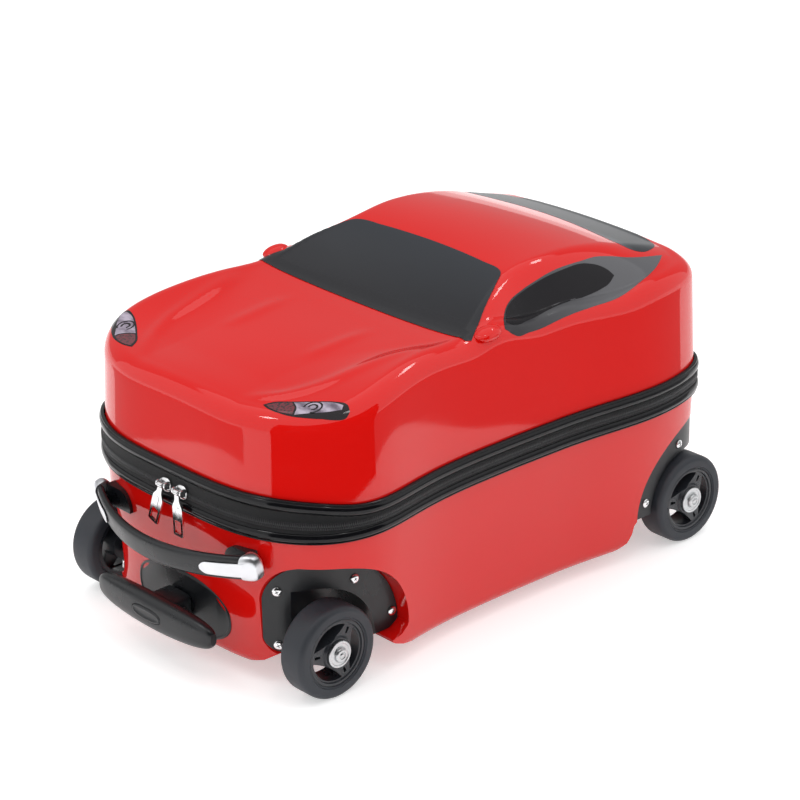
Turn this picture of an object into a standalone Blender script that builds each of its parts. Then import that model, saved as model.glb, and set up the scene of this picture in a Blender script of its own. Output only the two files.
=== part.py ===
"""Children's hard-shell suitcase shaped like a coupe, with four wheels and a pull-out handle.

Metres, +Z up. The floor is z = 0, the car faces -Y, and the origin lies midway between the axles.
"""
import math

import bmesh
import bpy
import numpy as np
from mathutils import Matrix, Vector

GAP = 0.0003

# The shapes are drawn about the middle of the wheelbase, then moved back by this much,
# so that the origin lies on the floor under the middle of the whole length
MIDDLE_SHIFT_Y = 0.0165

# Plan of the body, taken at the outer face of the zipper band
FRONT_LENGTH = 0.2398
REAR_LENGTH = 0.2354
FRONT_CORNER_POWER = 3.65
REAR_CORNER_POWER = 8.1
WAIST_HALF_WIDTH = 0.1403
FRONT_FENDER_Y = -0.187
FRONT_FENDER_BULGE = 0.0279
FRONT_FENDER_SPREAD = 0.0735
REAR_FENDER_Y = 0.151
REAR_FENDER_BULGE = 0.0094
REAR_FENDER_SPREAD = 0.068
PLAN_STEPS = 22
PLAN_SAMPLES = 721

# Shells
SHELL_THICKNESS = 0.0024
SHELL_INSET = 0.0042
SPLIT_Z = 0.1424
SHELL_EDGE_GAP = 0.003
LID_DRAFT = 0.0028
LID_EDGE_RADIUS = 0.016
BASE_DRAFT = 0.0050
BASE_BOTTOM_Z = 0.011
BASE_EDGE_RADIUS = 0.011

# Moulded wing mirrors
MIRROR_PLACE = (0.1265, -0.022)
MIRROR_HALF_SIZES = (0.0120, 0.0085, 0.0062)

# Zipper band, taller across the nose
BAND_TOP_Z = 0.1561
BAND_BOTTOM_Z = 0.1287
BAND_TOP_RISE = 0.0074
BAND_BOTTOM_DROP = 0.0022
BAND_RISE_Y = -0.190
BAND_RISE_SPREAD = 0.012
PIPING_HEIGHT = 0.0090
TAPE_INSET = 0.0013
SLIDER_XS = (-0.0036, 0.0160)
SLIDER_Z = 0.1445
PULL_LEANS = (math.radians(20.0), 0.0)
PULL_LENGTH = 0.0370
PULL_HALF_WIDTH = 0.0058
PULL_NECK_HALF_WIDTH = 0.0026
PULL_THICKNESS = 0.0016
PULL_BARREL_RADIUS = 0.0024
PULL_BAR_RADIUS = 0.0009
PULL_BAR_STAND = 0.0060
SLIDER_HALF_SIZE = 0.0060
SLIDER_THICKNESS = 0.0030

# Lid hinge, on the rear outer face of the band
HINGE_Y = 0.2369
HINGE_HALF_WIDTH = 0.085
HINGE_TAPE_THICKNESS = 0.0010

# Wheels
WHEEL_RADIUS = 0.038
WHEEL_WIDTH = 0.026
WHEEL_FACE_X = 0.1447
AXLE_Y = 0.1966
TYRE_INNER_RADIUS = 0.0275
TYRE_SHOULDER = 0.0045
BEARING_RADIUS = 0.011
BEARING_WIDTH = 0.007
BOLT_RADIUS = 0.004
BOLT_HEAD_RADIUS = 0.0058
BOLT_HEAD_HEIGHT = 0.0035

# Wheel housings, one on each lower corner of the base; pairs are (front, rear)
HOUSING_HALF_WIDTHS = (0.1300, 0.1390)
HOUSING_LENGTHS = (0.2345, 0.2300)
HOUSING_POWERS = (4.2, 8.1)
HOUSING_THICKNESS = 0.0025
HOUSING_INNER_X = 0.0865
HOUSING_CORNER_RADIUS = 0.038
HOUSING_FOOT_RADIUS = 0.016
HOUSING_TOP_ZS = (0.105, 0.106)
HOUSING_BOTTOM_ZS = (0.028, 0.036)
ARCH_CENTRES = ((0.193, 0.036), (0.215, 0.038))
ARCH_HALF_LENGTHS = (0.0725, 0.079)
WELL_INNER_X = 0.104
WELL_INNER_YS = (0.143, 0.1545)
WELL_TOP_Z = 0.0797
WELL_CORNER_RADII = (0.050, 0.044)
SCREW_HEAD_RADIUS = 0.0036
SCREW_SHANK_RADIUS = 0.0015
NOSE_SCREW_X = 0.0970
NOSE_SCREW_ZS = (0.0803, 0.0345)
SIDE_SCREWS = (((0.1604, 0.0815), (0.1267, 0.0434)), ((0.1908, 0.0878), (0.1478, 0.0488)))

# Lower edge of the base where it rises towards the wheels, as (distance from the middle, z)
SILLS = (
    ((0.150, 0.0330), (0.137, 0.0240), (0.126, 0.0190), (0.116, 0.0160), (0.104, 0.0105)),
    ((0.136, 0.0360), (0.133, 0.0330), (0.131, 0.0260), (0.126, 0.0190), (0.117, 0.0145), (0.104, 0.0105)),
)
CHIN = ((0.052, 0.0105), (0.0685, 0.0135), (0.087, 0.0200), (0.107, 0.0335))
CHIN_START_Y = 0.145

# Carry handle
HANDLE_PIVOT_Y = -0.2335
HANDLE_PIVOT_Z = 0.1072
HANDLE_DROOP = math.radians(11.0)
HANDLE_BOW = 0.0316
HANDLE_HALF_SPAN = 0.100
HANDLE_GRIP_HALF_SPAN = 0.0880
HANDLE_HEIGHT = 0.0205
HANDLE_THICKNESS = 0.0080
CAP_TONGUE_X = 0.0580
CAP_TONGUE_HALF_HEIGHT = 0.0062
CAP_INNER_X = 0.0890
CAP_OUTER_X = 0.1010
CAP_HALF_HEIGHT = 0.0113
CAP_PLATE = 0.0012
CAP_BACK = -0.0045
MOUNT_INNER_X = 0.0590
MOUNT_OUTER_X = 0.0884
MOUNT_FRONT_Y = -0.2354
MOUNT_HALF_HEIGHT = 0.0085
PIN_RADIUS = 0.0026

# Trolley handle
TROLLEY_Z = 0.044
BEZEL_HALF_LENGTH = 0.0575
BEZEL_HALF_HEIGHT = 0.0265
BEZEL_FACE_Y = -0.2345
BEZEL_SWEEP = 0.0035
TUBE_WALL = 0.0012
TUBE_CLEARANCE = 0.0004
OUTER_TUBE_SIZE = (0.0300, 0.0170)
TUBE_FRONT_Y = -0.2240
TUBE_REAR_Y = 0.2100
GRIP_HALF_LENGTH = 0.0705
GRIP_FRONT_Y = -0.2690
GRIP_DEPTH = 0.0165
GRIP_HALF_HEIGHT = 0.0145
GRIP_SWEEP = 0.0025
NECK_HALF_WIDTH = 0.0150
NECK_HALF_HEIGHT = 0.0100
BUTTON_HALF_LENGTH = 0.0175
BUTTON_HALF_HEIGHT = 0.0055

MATERIAL_LOOKS = {
    "red_shell": ((0.56, 0.012, 0.008, 1.0), 0.12, 0.0),
    "black_piping": ((0.012, 0.012, 0.014, 1.0), 0.2, 0.0),
    "zipper_fabric": ((0.015, 0.015, 0.017, 1.0), 0.85, 0.0),
    "black_plastic": ((0.022, 0.023, 0.025, 1.0), 0.45, 0.0),
    "tyre_rubber": ((0.018, 0.019, 0.021, 1.0), 0.6, 0.0),
    "wheel_plastic": ((0.020, 0.021, 0.023, 1.0), 0.42, 0.0),
    "polished_metal": ((0.78, 0.78, 0.80, 1.0), 0.12, 1.0),
    "steel": ((0.62, 0.63, 0.64, 1.0), 0.3, 1.0),
    "aluminium": ((0.68, 0.69, 0.70, 1.0), 0.35, 1.0),
}

# Height of the lid's centre line and of its shoulder line, as (y, z) from nose to tail
CENTRE_LINE = (
    (-0.245, 0.2200), (-0.228, 0.2265), (-0.180, 0.2330), (-0.120, 0.2380), (-0.060, 0.2410),
    (-0.036, 0.2425), (0.000, 0.2570), (0.036, 0.2705), (0.090, 0.2770), (0.140, 0.2710),
    (0.172, 0.2618), (0.215, 0.2488), (0.240, 0.2410),
)
SHOULDER_LINE = (
    (-0.245, 0.2150), (-0.222, 0.2205), (-0.180, 0.2320), (-0.130, 0.2440), (-0.090, 0.2490),
    (-0.040, 0.2480), (0.005, 0.2330), (0.060, 0.2290), (0.120, 0.2290), (0.165, 0.2378),
    (0.205, 0.2378), (0.240, 0.2300),
)
# Half width at which the roof (or the hood's raised middle) starts to fall to the shoulder,
# and how much higher the surface is there than on the centre line
ROOF_HALF_WIDTH = (
    (-0.245, 0.060), (-0.120, 0.064), (-0.040, 0.112), (0.000, 0.101), (0.029, 0.090),
    (0.080, 0.090), (0.140, 0.088), (0.190, 0.084), (0.240, 0.082),
)
EDGE_RISE = (
    (-0.245, -0.0030), (-0.120, 0.0000), (-0.040, 0.0035), (0.000, 0.0045), (0.029, 0.0020),
    (0.080, -0.0010), (0.240, -0.0030),
)


def smooth_line(table, y):
    """Value at y of a soft curve through the table's points."""
    ys = np.array([point[0] for point in table])
    values = np.array([point[1] for point in table])
    slopes = np.gradient(values, ys)
    y = np.clip(np.asarray(y, float), ys[0], ys[-1])
    k = np.clip(np.searchsorted(ys, y) - 1, 0, len(ys) - 2)
    step = ys[k + 1] - ys[k]
    t = (y - ys[k]) / step
    start = values[k] * (2 * t**3 - 3 * t**2 + 1) + slopes[k] * step * (t**3 - 2 * t**2 + t)
    end = values[k + 1] * (3 * t**2 - 2 * t**3) + slopes[k + 1] * step * (t**3 - t**2)
    return start + end


def half_width(y, bulge=1.0):
    """Half width of the plan at y, wider at the four fenders."""
    front = FRONT_FENDER_BULGE * np.exp(-(((y - FRONT_FENDER_Y) / FRONT_FENDER_SPREAD) ** 2))
    rear = REAR_FENDER_BULGE * np.exp(-(((y - REAR_FENDER_Y) / REAR_FENDER_SPREAD) ** 2))
    return WAIST_HALF_WIDTH + bulge * (front + rear)


def dense_half_plan(lengths, powers, width):
    """Fine half outline from the nose to the tail on the +X side; width gives the half width."""
    angles = np.linspace(-math.pi / 2, math.pi / 2, PLAN_SAMPLES)
    sine = np.sin(angles)
    cosine = np.abs(np.cos(angles))
    length = np.where(sine < 0, lengths[0], lengths[1])
    power = np.where(sine < 0, powers[0], powers[1])
    y = length * np.sign(sine) * np.abs(sine) ** (2 / power)
    x = width(y) * cosine ** (2 / power)
    x[0] = x[-1] = 0.0
    return np.stack([x, y], 1)


def plan_normals(points):
    """Outward unit normals of a half outline that starts and ends on the middle plane."""
    tangent = np.gradient(points, axis=0)
    tangent[0] = (1.0, 0.0)
    tangent[-1] = (-1.0, 0.0)
    normal = np.stack([tangent[:, 1], -tangent[:, 0]], 1)
    return normal / np.linalg.norm(normal, axis=1)[:, None]


def sample_places(points, steps):
    """Places along an outline, closer together where it turns."""
    step = np.linalg.norm(np.diff(points, axis=0), axis=1)
    normal = plan_normals(points)
    turn = np.linalg.norm(np.diff(normal, axis=0), axis=1)
    travelled = np.concatenate([[0.0], np.cumsum(step + 0.10 * turn)])
    wanted = np.linspace(0.0, travelled[-1], steps + 1)
    return np.interp(wanted, travelled, np.arange(len(points)))


BODY_PLAN = dense_half_plan((FRONT_LENGTH, REAR_LENGTH), (FRONT_CORNER_POWER, REAR_CORNER_POWER), half_width)
HOUSING_PLAN = dense_half_plan(HOUSING_LENGTHS, HOUSING_POWERS,
                               lambda y: np.where(y < 0, HOUSING_HALF_WIDTHS[0], HOUSING_HALF_WIDTHS[1]))


def mirrored_ring(half):
    """Whole closed ring from a half outline: nose, +X side, tail, -X side."""
    other = half[-2:0:-1] * np.array([-1.0, 1.0])
    return np.vstack([half, other])


def plan_ring(plan, inset):
    """Ring of points at this distance inside a plan."""
    places = sample_places(plan, PLAN_STEPS)
    index = np.arange(len(plan))
    moved = plan - plan_normals(plan) * inset
    half = np.stack([np.interp(places, index, moved[:, k]) for k in (0, 1)], 1)
    half[0, 0] = half[-1, 0] = 0.0
    return mirrored_ring(half)


def body_ring(inset):
    """Ring of plan points at this distance inside the band's outer face."""
    return plan_ring(BODY_PLAN, inset)


def housing_ring(inset):
    """Ring of the plainer plan that the wheel housings share."""
    return plan_ring(HOUSING_PLAN, inset)


def lid_height(x, y):
    """Height of the lid's top surface over a plan point."""
    centre = smooth_line(CENTRE_LINE, y)
    shoulder = smooth_line(SHOULDER_LINE, y)
    roof = smooth_line(ROOF_HALF_WIDTH, y)
    side = half_width(y) - SHELL_INSET
    t = np.clip((np.abs(x) - roof) / (side - roof), 0.0, 1.0)
    fall = t * t * (3 - 2 * t)
    edge = centre + smooth_line(EDGE_RISE, y) * np.clip(np.abs(x) / roof, 0.0, 1.0) ** 2
    return edge + (shoulder - edge) * fall


def lid_drop(x, y, thickness):
    """Vertical depth of a layer of this thickness under the lid's sloping top."""
    step = 0.001
    along_x = (lid_height(x + step, y) - lid_height(x - step, y)) / (2 * step)
    along_y = (lid_height(x, y + step) - lid_height(x, y - step)) / (2 * step)
    return thickness * np.sqrt(1 + along_x**2 + along_y**2)


def new_object(name, vertices, faces, material=None, origin=(0.0, 0.0, 0.0)):
    """Mesh object with its faces pointing out and its origin where asked."""
    mesh = bpy.data.meshes.new(name)
    shift = Vector(origin)
    mesh.from_pydata([Vector(v) - shift for v in vertices], [], faces)
    shell = bmesh.new()
    shell.from_mesh(mesh)
    bmesh.ops.recalc_face_normals(shell, faces=shell.faces)
    shell.to_mesh(mesh)
    shell.free()
    thing = bpy.data.objects.new(name, mesh)
    thing.location = shift
    bpy.context.scene.collection.objects.link(thing)
    if material:
        mesh.materials.append(MATERIALS[material])
    return thing


def loft(name, rings, material=None, origin=(0.0, 0.0, 0.0), caps="fill", open_end=False):
    """Closed body through rings that have the same number of points."""
    count = len(rings[0])
    vertices = [tuple(point) for ring in rings for point in ring]
    faces = []
    for level in range(len(rings) - 1):
        for k in range(count):
            a = level * count + k
            b = level * count + (k + 1) % count
            faces.append((a, b, b + count, a + count))
    last = (len(rings) - 1) * count
    for start in ((0, last) if not open_end else (last,)):
        if caps == "fill":
            faces.append(tuple(range(start, start + count)))
        else:
            faces.extend(strip_cap(start, count))
    return new_object(name, vertices, faces, material, origin)


def strip_cap(start, count):
    """Faces across a ring that is symmetric about its first and middle points."""
    faces = [(start, start + 1, start + count - 1)]
    for k in range(1, count // 2 - 1):
        faces.append((start + k, start + k + 1, start + count - k - 1, start + count - k))
    middle = count // 2
    faces.append((start + middle - 1, start + middle, start + middle + 1))
    return faces


def belt(name, sections, material, origin=(0.0, 0.0, 0.0)):
    """Closed loop of one section: sections is a list of rings, one for each section point."""
    count = len(sections[0])
    around = len(sections)
    vertices = [tuple(point) for ring in sections for point in ring]
    faces = []
    for level in range(around):
        following = (level + 1) % around
        for k in range(count):
            after = (k + 1) % count
            faces.append((level * count + k, level * count + after,
                          following * count + after, following * count + k))
    return new_object(name, vertices, faces, material, origin)


def at_height(ring, z):
    """Plan ring lifted to one height."""
    return [(x, y, z) for x, y in ring]


def box(name, low, high, material=None, origin=(0.0, 0.0, 0.0)):
    """Box between two opposite corners."""
    xs, ys, zs = zip(low, high)
    ring = [(xs[0], ys[0]), (xs[1], ys[0]), (xs[1], ys[1]), (xs[0], ys[1])]
    return loft(name, [at_height(ring, zs[0]), at_height(ring, zs[1])], material, origin)


def prism_x(name, profile, x_low, x_high):
    """Profile of (y, z) points pulled along X."""
    return loft(name, [[(x_low, y, z) for y, z in profile], [(x_high, y, z) for y, z in profile]])


def oval(half_long, half_short, steps, power=2.0):
    """Points of a rounded oval."""
    points = []
    for k in range(steps):
        angle = 2 * math.pi * k / steps
        c = math.cos(angle)
        s = math.sin(angle)
        points.append((half_long * math.copysign(abs(c) ** (2 / power), c),
                       half_short * math.copysign(abs(s) ** (2 / power), s)))
    return points


def turned(name, profile, steps, material=None):
    """Closed body turned about X: profile is a closed loop of (x, radius) points."""
    rings = []
    for x, radius in profile:
        rings.append([(x, radius * math.cos(2 * math.pi * k / steps),
                       radius * math.sin(2 * math.pi * k / steps)) for k in range(steps)])
    if profile[0][1] == 0.0:
        return turned_solid(name, profile, steps, material)
    return belt(name, rings, material)


def turned_solid(name, profile, steps, material=None):
    """Closed body turned about X whose profile starts and ends on the axis."""
    rings = []
    for x, radius in profile[1:-1]:
        rings.append([(x, radius * math.cos(2 * math.pi * k / steps),
                       radius * math.sin(2 * math.pi * k / steps)) for k in range(steps)])
    return loft(name, rings, material)


def combine(target, tool, operation="DIFFERENCE"):
    """Boolean of two objects, kept in the first; the second is removed."""
    modifier = target.modifiers.new("combine", "BOOLEAN")
    modifier.operation = operation
    modifier.solver = "EXACT"
    modifier.object = tool
    bpy.context.view_layer.update()
    view = bpy.context.evaluated_depsgraph_get()
    mesh = bpy.data.meshes.new_from_object(target.evaluated_get(view))
    target.modifiers.clear()
    target.data = mesh
    bpy.data.objects.remove(tool)
    clean(target)
    return target


def clean(thing):
    """Merge the tiny edges that a Boolean leaves."""
    shell = bmesh.new()
    shell.from_mesh(thing.data)
    bmesh.ops.remove_doubles(shell, verts=shell.verts, dist=0.00002)
    bmesh.ops.dissolve_degenerate(shell, edges=shell.edges, dist=0.00001)
    bmesh.ops.recalc_face_normals(shell, faces=shell.faces)
    shell.to_mesh(thing.data)
    shell.free()


def placed_copy(thing, name, matrix, origin):
    """Mesh copy moved by a matrix given about the world's origin, with its own origin."""
    mesh = thing.data.copy()
    mesh.transform(Matrix.Translation(-Vector(origin)) @ matrix @ thing.matrix_world)
    if matrix.determinant() < 0:
        mesh.flip_normals()
    copy = bpy.data.objects.new(name, mesh)
    copy.location = origin
    bpy.context.scene.collection.objects.link(copy)
    return copy


def set_material(thing, material):
    """Give an object one material."""
    thing.data.materials.clear()
    thing.data.materials.append(MATERIALS[material])


def move_origin(thing, origin):
    """Put an object's origin somewhere without moving its shape."""
    bpy.context.view_layer.update()
    thing.data.transform(Matrix.Translation(-Vector(origin)) @ thing.matrix_world)
    thing.matrix_world = Matrix.Translation(origin)


def make_materials():
    """One Principled material for each look."""
    made = {}
    for name, (colour, roughness, metallic) in MATERIAL_LOOKS.items():
        material = bpy.data.materials.new(name)
        material.use_nodes = True
        shader = material.node_tree.nodes["Principled BSDF"]
        shader.inputs["Base Color"].default_value = colour
        shader.inputs["Roughness"].default_value = roughness
        shader.inputs["Metallic"].default_value = metallic
        material.diffuse_color = colour
        made[name] = material
    return made


def lid_rings(depth):
    """Rings of the lid's skin at this depth inside its outer face, from its edge to its crown."""
    wall = SHELL_INSET + LID_DRAFT + depth
    radius = LID_EDGE_RADIUS - depth
    rings = [at_height(body_ring(SHELL_INSET + depth), SPLIT_Z + SHELL_EDGE_GAP)]
    crest = body_ring(wall + radius)
    crest_height = lid_height(crest[:, 0], crest[:, 1]) - lid_drop(crest[:, 0], crest[:, 1], depth)
    for angle in (0.0, 30.0, 60.0, 90.0):
        turn = math.radians(angle)
        ring = body_ring(wall + radius * (1 - math.cos(turn)))
        height = crest_height - radius * (1 - math.sin(turn))
        rings.append([(x, y, z) for (x, y), z in zip(ring, height)])
    rings.append(on_lid(body_ring(0.033 + depth), depth))
    last = body_ring(0.044 + depth)
    for share in (1.0, 0.78, 0.52, 0.26):
        rings.append(on_lid(last * np.array([share, 1 - 0.10 * (1 - share)]), depth))
    return rings


def on_lid(ring, depth):
    """Plan ring laid on the lid's top, at this depth under its surface."""
    x = ring[:, 0]
    y = ring[:, 1]
    height = lid_height(x, y) - lid_drop(x, y, depth)
    return [(a, b, c) for a, b, c in zip(x, y, height)]


def make_lid():
    """Upper half of the case: walls, hood, windscreen, roof and tail as one thin shell."""
    rings = lid_rings(0.0)[::-1] + lid_rings(SHELL_THICKNESS)
    lid = loft("lid_shell", rings, None, (0.0, HINGE_Y, SPLIT_Z), caps="strip")
    for side in (-1, 1):
        combine(lid, mirror_pod(side), "UNION")
    set_material(lid, "red_shell")


def mirror_pod(side):
    """Low moulded bump for a wing mirror, on the shoulder by the windscreen's lower corner."""
    x, y = MIRROR_PLACE
    z = float(lid_height(np.array(x), np.array(y)))
    long, wide, tall = MIRROR_HALF_SIZES
    rings = []
    for angle in (70.0, 35.0, 0.0, -35.0, -70.0):
        up = math.sin(math.radians(angle))
        share = math.cos(math.radians(angle))
        section = oval(long * share, wide * share, 10)
        rings.append([(side * (x + b), y + a, z + tall * up) for a, b in section])
    return loft("pod", rings)


def end_index(end):
    """Place of an end's value in the (front, rear) pairs."""
    return 0 if end < 0 else 1


def pocket_profile(end, grow=0.0):
    """Side outline of the recess for a wheel housing; end is -1 at the nose and 1 at the tail."""
    k = end_index(end)
    far = 0.26
    centre_y, centre_z = ARCH_CENTRES[k]
    half_length = ARCH_HALF_LENGTHS[k] + grow
    half_height = HOUSING_TOP_ZS[k] - centre_z + grow
    points = [(far, -0.02), (far, centre_z + half_height)]
    for turn in np.linspace(0.0, math.pi / 2, 9):
        points.append((centre_y - half_length * math.sin(turn), centre_z + half_height * math.cos(turn)))
    lip = centre_y - half_length
    bottom = HOUSING_BOTTOM_ZS[k] - grow
    if k == 0:
        points.append((lip + 0.0015, bottom + 0.0055))
        points.append((lip + 0.0080, bottom + 0.0010))
    well = WELL_INNER_YS[k] + 0.004
    points.extend([(lip + 0.0180 * (1 - k), bottom), (well, bottom), (well, -0.02)])
    return [(end * y, z) for y, z in points]


def well_profile(end, grow=0.0):
    """Side outline of the space that the wheel runs in."""
    far = 0.26
    top = WELL_TOP_Z + grow
    inner = WELL_INNER_YS[end_index(end)] - grow
    radius = WELL_CORNER_RADII[end_index(end)] + grow
    points = [(far, -0.02), (far, top), (inner + radius, top)]
    for turn in np.linspace(0.0, math.pi / 2, 6)[1:]:
        points.append((inner + radius - radius * math.sin(turn), top - radius + radius * math.cos(turn)))
    points.append((inner, -0.02))
    return [(end * y, z) for y, z in points]


def pocket_prism(end, side, grow):
    """Recess for one wheel housing: its side outline crossed with its rounded end outline."""
    low, high = sorted((side * (HOUSING_INNER_X - grow), side * 0.17))
    piece = prism_x("corner", pocket_profile(end, grow), low, high)
    top = HOUSING_TOP_ZS[end_index(end)] + grow + 0.0005
    radius = HOUSING_CORNER_RADIUS + grow
    inner = HOUSING_INNER_X - grow - 0.0005
    outline = [(0.18, -0.03), (0.18, top)]
    for turn in np.linspace(0.0, math.pi / 2, 6):
        outline.append((inner + radius - radius * math.sin(turn), top - radius + radius * math.cos(turn)))
    foot = HOUSING_FOOT_RADIUS + grow
    low = HOUSING_BOTTOM_ZS[end_index(end)] - grow - 0.0005
    for turn in np.linspace(0.0, math.pi / 2, 4):
        outline.append((inner + foot - foot * math.cos(turn), low + foot - foot * math.sin(turn)))
    outline.append((inner + foot, -0.03))
    rings = [[(side * x, y, z) for x, z in outline] for y in (end * 0.05, end * 0.27)]
    return combine(piece, loft("end outline", rings), "INTERSECT")


def well_prism(end, side, grow, high=0.17):
    """Space for one wheel."""
    low, high = sorted((side * (WELL_INNER_X - grow), side * high))
    return prism_x("well", well_profile(end, grow), low, high)


def sill_prism(end, side, grow):
    """Space under the base's side where it rises towards a wheel."""
    profile = [(0.26, -0.02), (0.26, SILLS[end_index(end)][0][1] + grow)]
    for y, z in SILLS[end_index(end)]:
        profile.append((y - grow, z + grow))
    profile.append((profile[-1][0], -0.02))
    low, high = sorted((side * (WELL_INNER_X - HOUSING_THICKNESS - 2 * GAP - grow), side * 0.17))
    return prism_x("sill", [(end * y, z) for y, z in profile], low, high)


def chin_prism(end, side, grow):
    """Space under the base's rounded lower corner between a wheel and the middle."""
    profile = [(x - grow, z + grow) for x, z in CHIN]
    profile.extend([(0.17, profile[-1][1]), (0.17, -0.03), (profile[0][0], -0.03)])
    rings = [[(side * x, end * y, z) for x, z in profile] for y in (CHIN_START_Y - grow, 0.27)]
    return loft("chin", rings)


def on_all_corners(make, grow):
    """The same piece made on all four corners, as one object."""
    group = None
    for end in (-1, 1):
        for side in (-1, 1):
            piece = make(end, side, grow)
            group = piece if group is None else combine(group, piece, "UNION")
    return group


def base_body(inset, bottom, top):
    """Closed body of the base's outline at this inset."""
    lower_inset = inset + BASE_DRAFT
    radius = BASE_EDGE_RADIUS - (inset - SHELL_INSET)
    rings = [at_height(body_ring(inset), top)]
    for angle in (0.0, 30.0, 60.0, 90.0):
        turn = math.radians(angle)
        rings.append(at_height(body_ring(lower_inset + radius * (1 - math.cos(turn))),
                               bottom + radius * (1 - math.sin(turn))))
    return loft("base_body", rings, caps="strip")


def trim_to_wall(thing):
    """Cut the back of a piece so that it stands just off the base's outer wall."""
    combine(thing, base_body(SHELL_INSET - GAP, BASE_BOTTOM_Z - GAP, SPLIT_Z))


def make_base():
    """Lower half of the case, with recesses for the wheel housings and the handle's opening."""
    wall = SHELL_THICKNESS
    outer = base_body(SHELL_INSET, BASE_BOTTOM_Z, SPLIT_Z - SHELL_EDGE_GAP)
    inner = base_body(SHELL_INSET + wall, BASE_BOTTOM_Z + wall, SPLIT_Z + 0.02)
    for body, grow in ((outer, 0.0), (inner, wall)):
        recess = on_all_corners(pocket_prism, grow)
        depth = HOUSING_THICKNESS + 2 * GAP + grow
        keep = loft("keep", [at_height(housing_ring(depth), z) for z in (-0.05, 0.2)], caps="strip")
        combine(recess, keep)
        combine(body, recess)
        combine(body, on_all_corners(well_prism, HOUSING_THICKNESS + 2 * GAP + grow))
        combine(body, on_all_corners(sill_prism, grow))
        combine(body, on_all_corners(chin_prism, grow))
    combine(outer, inner)
    width, height = OUTER_TUBE_SIZE
    hole = oval(width / 2 + 0.0036, height / 2 + 0.0036, 16, 5.0)
    opening = [(x, -0.20, TROLLEY_Z + z) for x, z in hole]
    through = [(x, -0.26, TROLLEY_Z + z) for x, z in hole]
    combine(outer, loft("opening", [opening, through]))
    outer.name = "base_shell"
    set_material(outer, "red_shell")
    return outer


def nose_share(y):
    """How far a place has turned on to the nose: 0 along the sides, 1 across the front."""
    return 1.0 / (1.0 + np.exp((y - BAND_RISE_Y) / BAND_RISE_SPREAD))


def band_ring(inset, z, rise=0.0):
    """Ring round the case at one height, lifted or lowered across the nose."""
    ring = body_ring(inset)
    lift = rise * nose_share(ring[:, 1])
    return [(x, y, z + up) for (x, y), up in zip(ring, lift)]


def make_band():
    """Glossy piping along both shells and the zipper tape between them."""
    back = SHELL_INSET - GAP
    hinge = (0.0, HINGE_Y, SPLIT_Z)
    ground = (0.0, 0.0, 0.0)
    half_gap = GAP / 2

    def piping(name, z_low, rise, origin):
        section = ((back, 0.0), (0.0010, 0.0), (0.0, 0.5), (0.0010, 1.0), (back, 1.0))
        rings = [band_ring(inset, z_low + PIPING_HEIGHT * part, rise) for inset, part in section]
        belt(name, rings, "black_piping", origin)

    def tape(name, low, low_rise, high, high_rise, origin):
        corners = ((back, low, low_rise), (TAPE_INSET, low, low_rise),
                   (TAPE_INSET, high, high_rise), (back, high, high_rise))
        belt(name, [band_ring(*corner) for corner in corners], "zipper_fabric", origin)

    upper = BAND_TOP_Z - PIPING_HEIGHT
    lower = BAND_BOTTOM_Z + PIPING_HEIGHT
    piping("lid_piping", upper, BAND_TOP_RISE, hinge)
    piping("base_piping", BAND_BOTTOM_Z, -BAND_BOTTOM_DROP, ground)
    tape("lid_zipper_tape", SPLIT_Z + half_gap, 0.0, upper - GAP, BAND_TOP_RISE, hinge)
    tape("base_zipper_tape", lower + GAP, -BAND_BOTTOM_DROP, SPLIT_Z - half_gap, 0.0, ground)


def make_hinge():
    """Flat rear hinge tape: one half on the lid, one on the base."""
    front = REAR_LENGTH + GAP
    back = front + HINGE_TAPE_THICKNESS
    for name, low, high, origin in (
        ("lid_hinge_tape", SPLIT_Z + GAP / 2, BAND_TOP_Z - 0.001, (0.0, HINGE_Y, SPLIT_Z)),
        ("base_hinge_tape", BAND_BOTTOM_Z + 0.001, SPLIT_Z - GAP / 2, (0.0, 0.0, 0.0)),
    ):
        box(name, (-HINGE_HALF_WIDTH, front, low), (HINGE_HALF_WIDTH, back, high), "zipper_fabric", origin)


def make_sliders():
    """Two zipper sliders on the front, each with a hanging pull."""
    front = -FRONT_LENGTH + TAPE_INSET - GAP
    bar_y = front - PULL_BAR_STAND
    bar_z = SLIDER_Z + 0.0012
    size = SLIDER_HALF_SIZE
    face = front - SLIDER_THICKNESS
    for label, x, lean in zip(("right", "left"), SLIDER_XS, PULL_LEANS):
        slider = box("zipper_slider_" + label, (x - size, face, SLIDER_Z - size),
                     (x + size, front, SLIDER_Z + size))
        for side in (-1, 1):
            low, high = sorted((x + side * 0.0040, x + side * 0.0055))
            ear = box("ear", (low, bar_y - 0.0013, bar_z - 0.0020), (high, face + 0.0010, bar_z + 0.0020))
            combine(slider, ear, "UNION")
        ends = (-0.0047, 0.0047)
        profile = ((0, 0), (ends[0], PULL_BAR_RADIUS), (ends[1], PULL_BAR_RADIUS), (0, 0))
        bar = turned_solid("bar", profile, 10)
        bar.data.transform(Matrix.Translation((x, bar_y, bar_z)))
        combine(slider, bar, "UNION")
        set_material(slider, "polished_metal")
        move_origin(slider, (x, front, SLIDER_Z))
        pull = make_pull(label, lean)
        pull.data.transform(Matrix.Translation((x, bar_y, bar_z)))
        move_origin(pull, (x, bar_y, bar_z))


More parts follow.
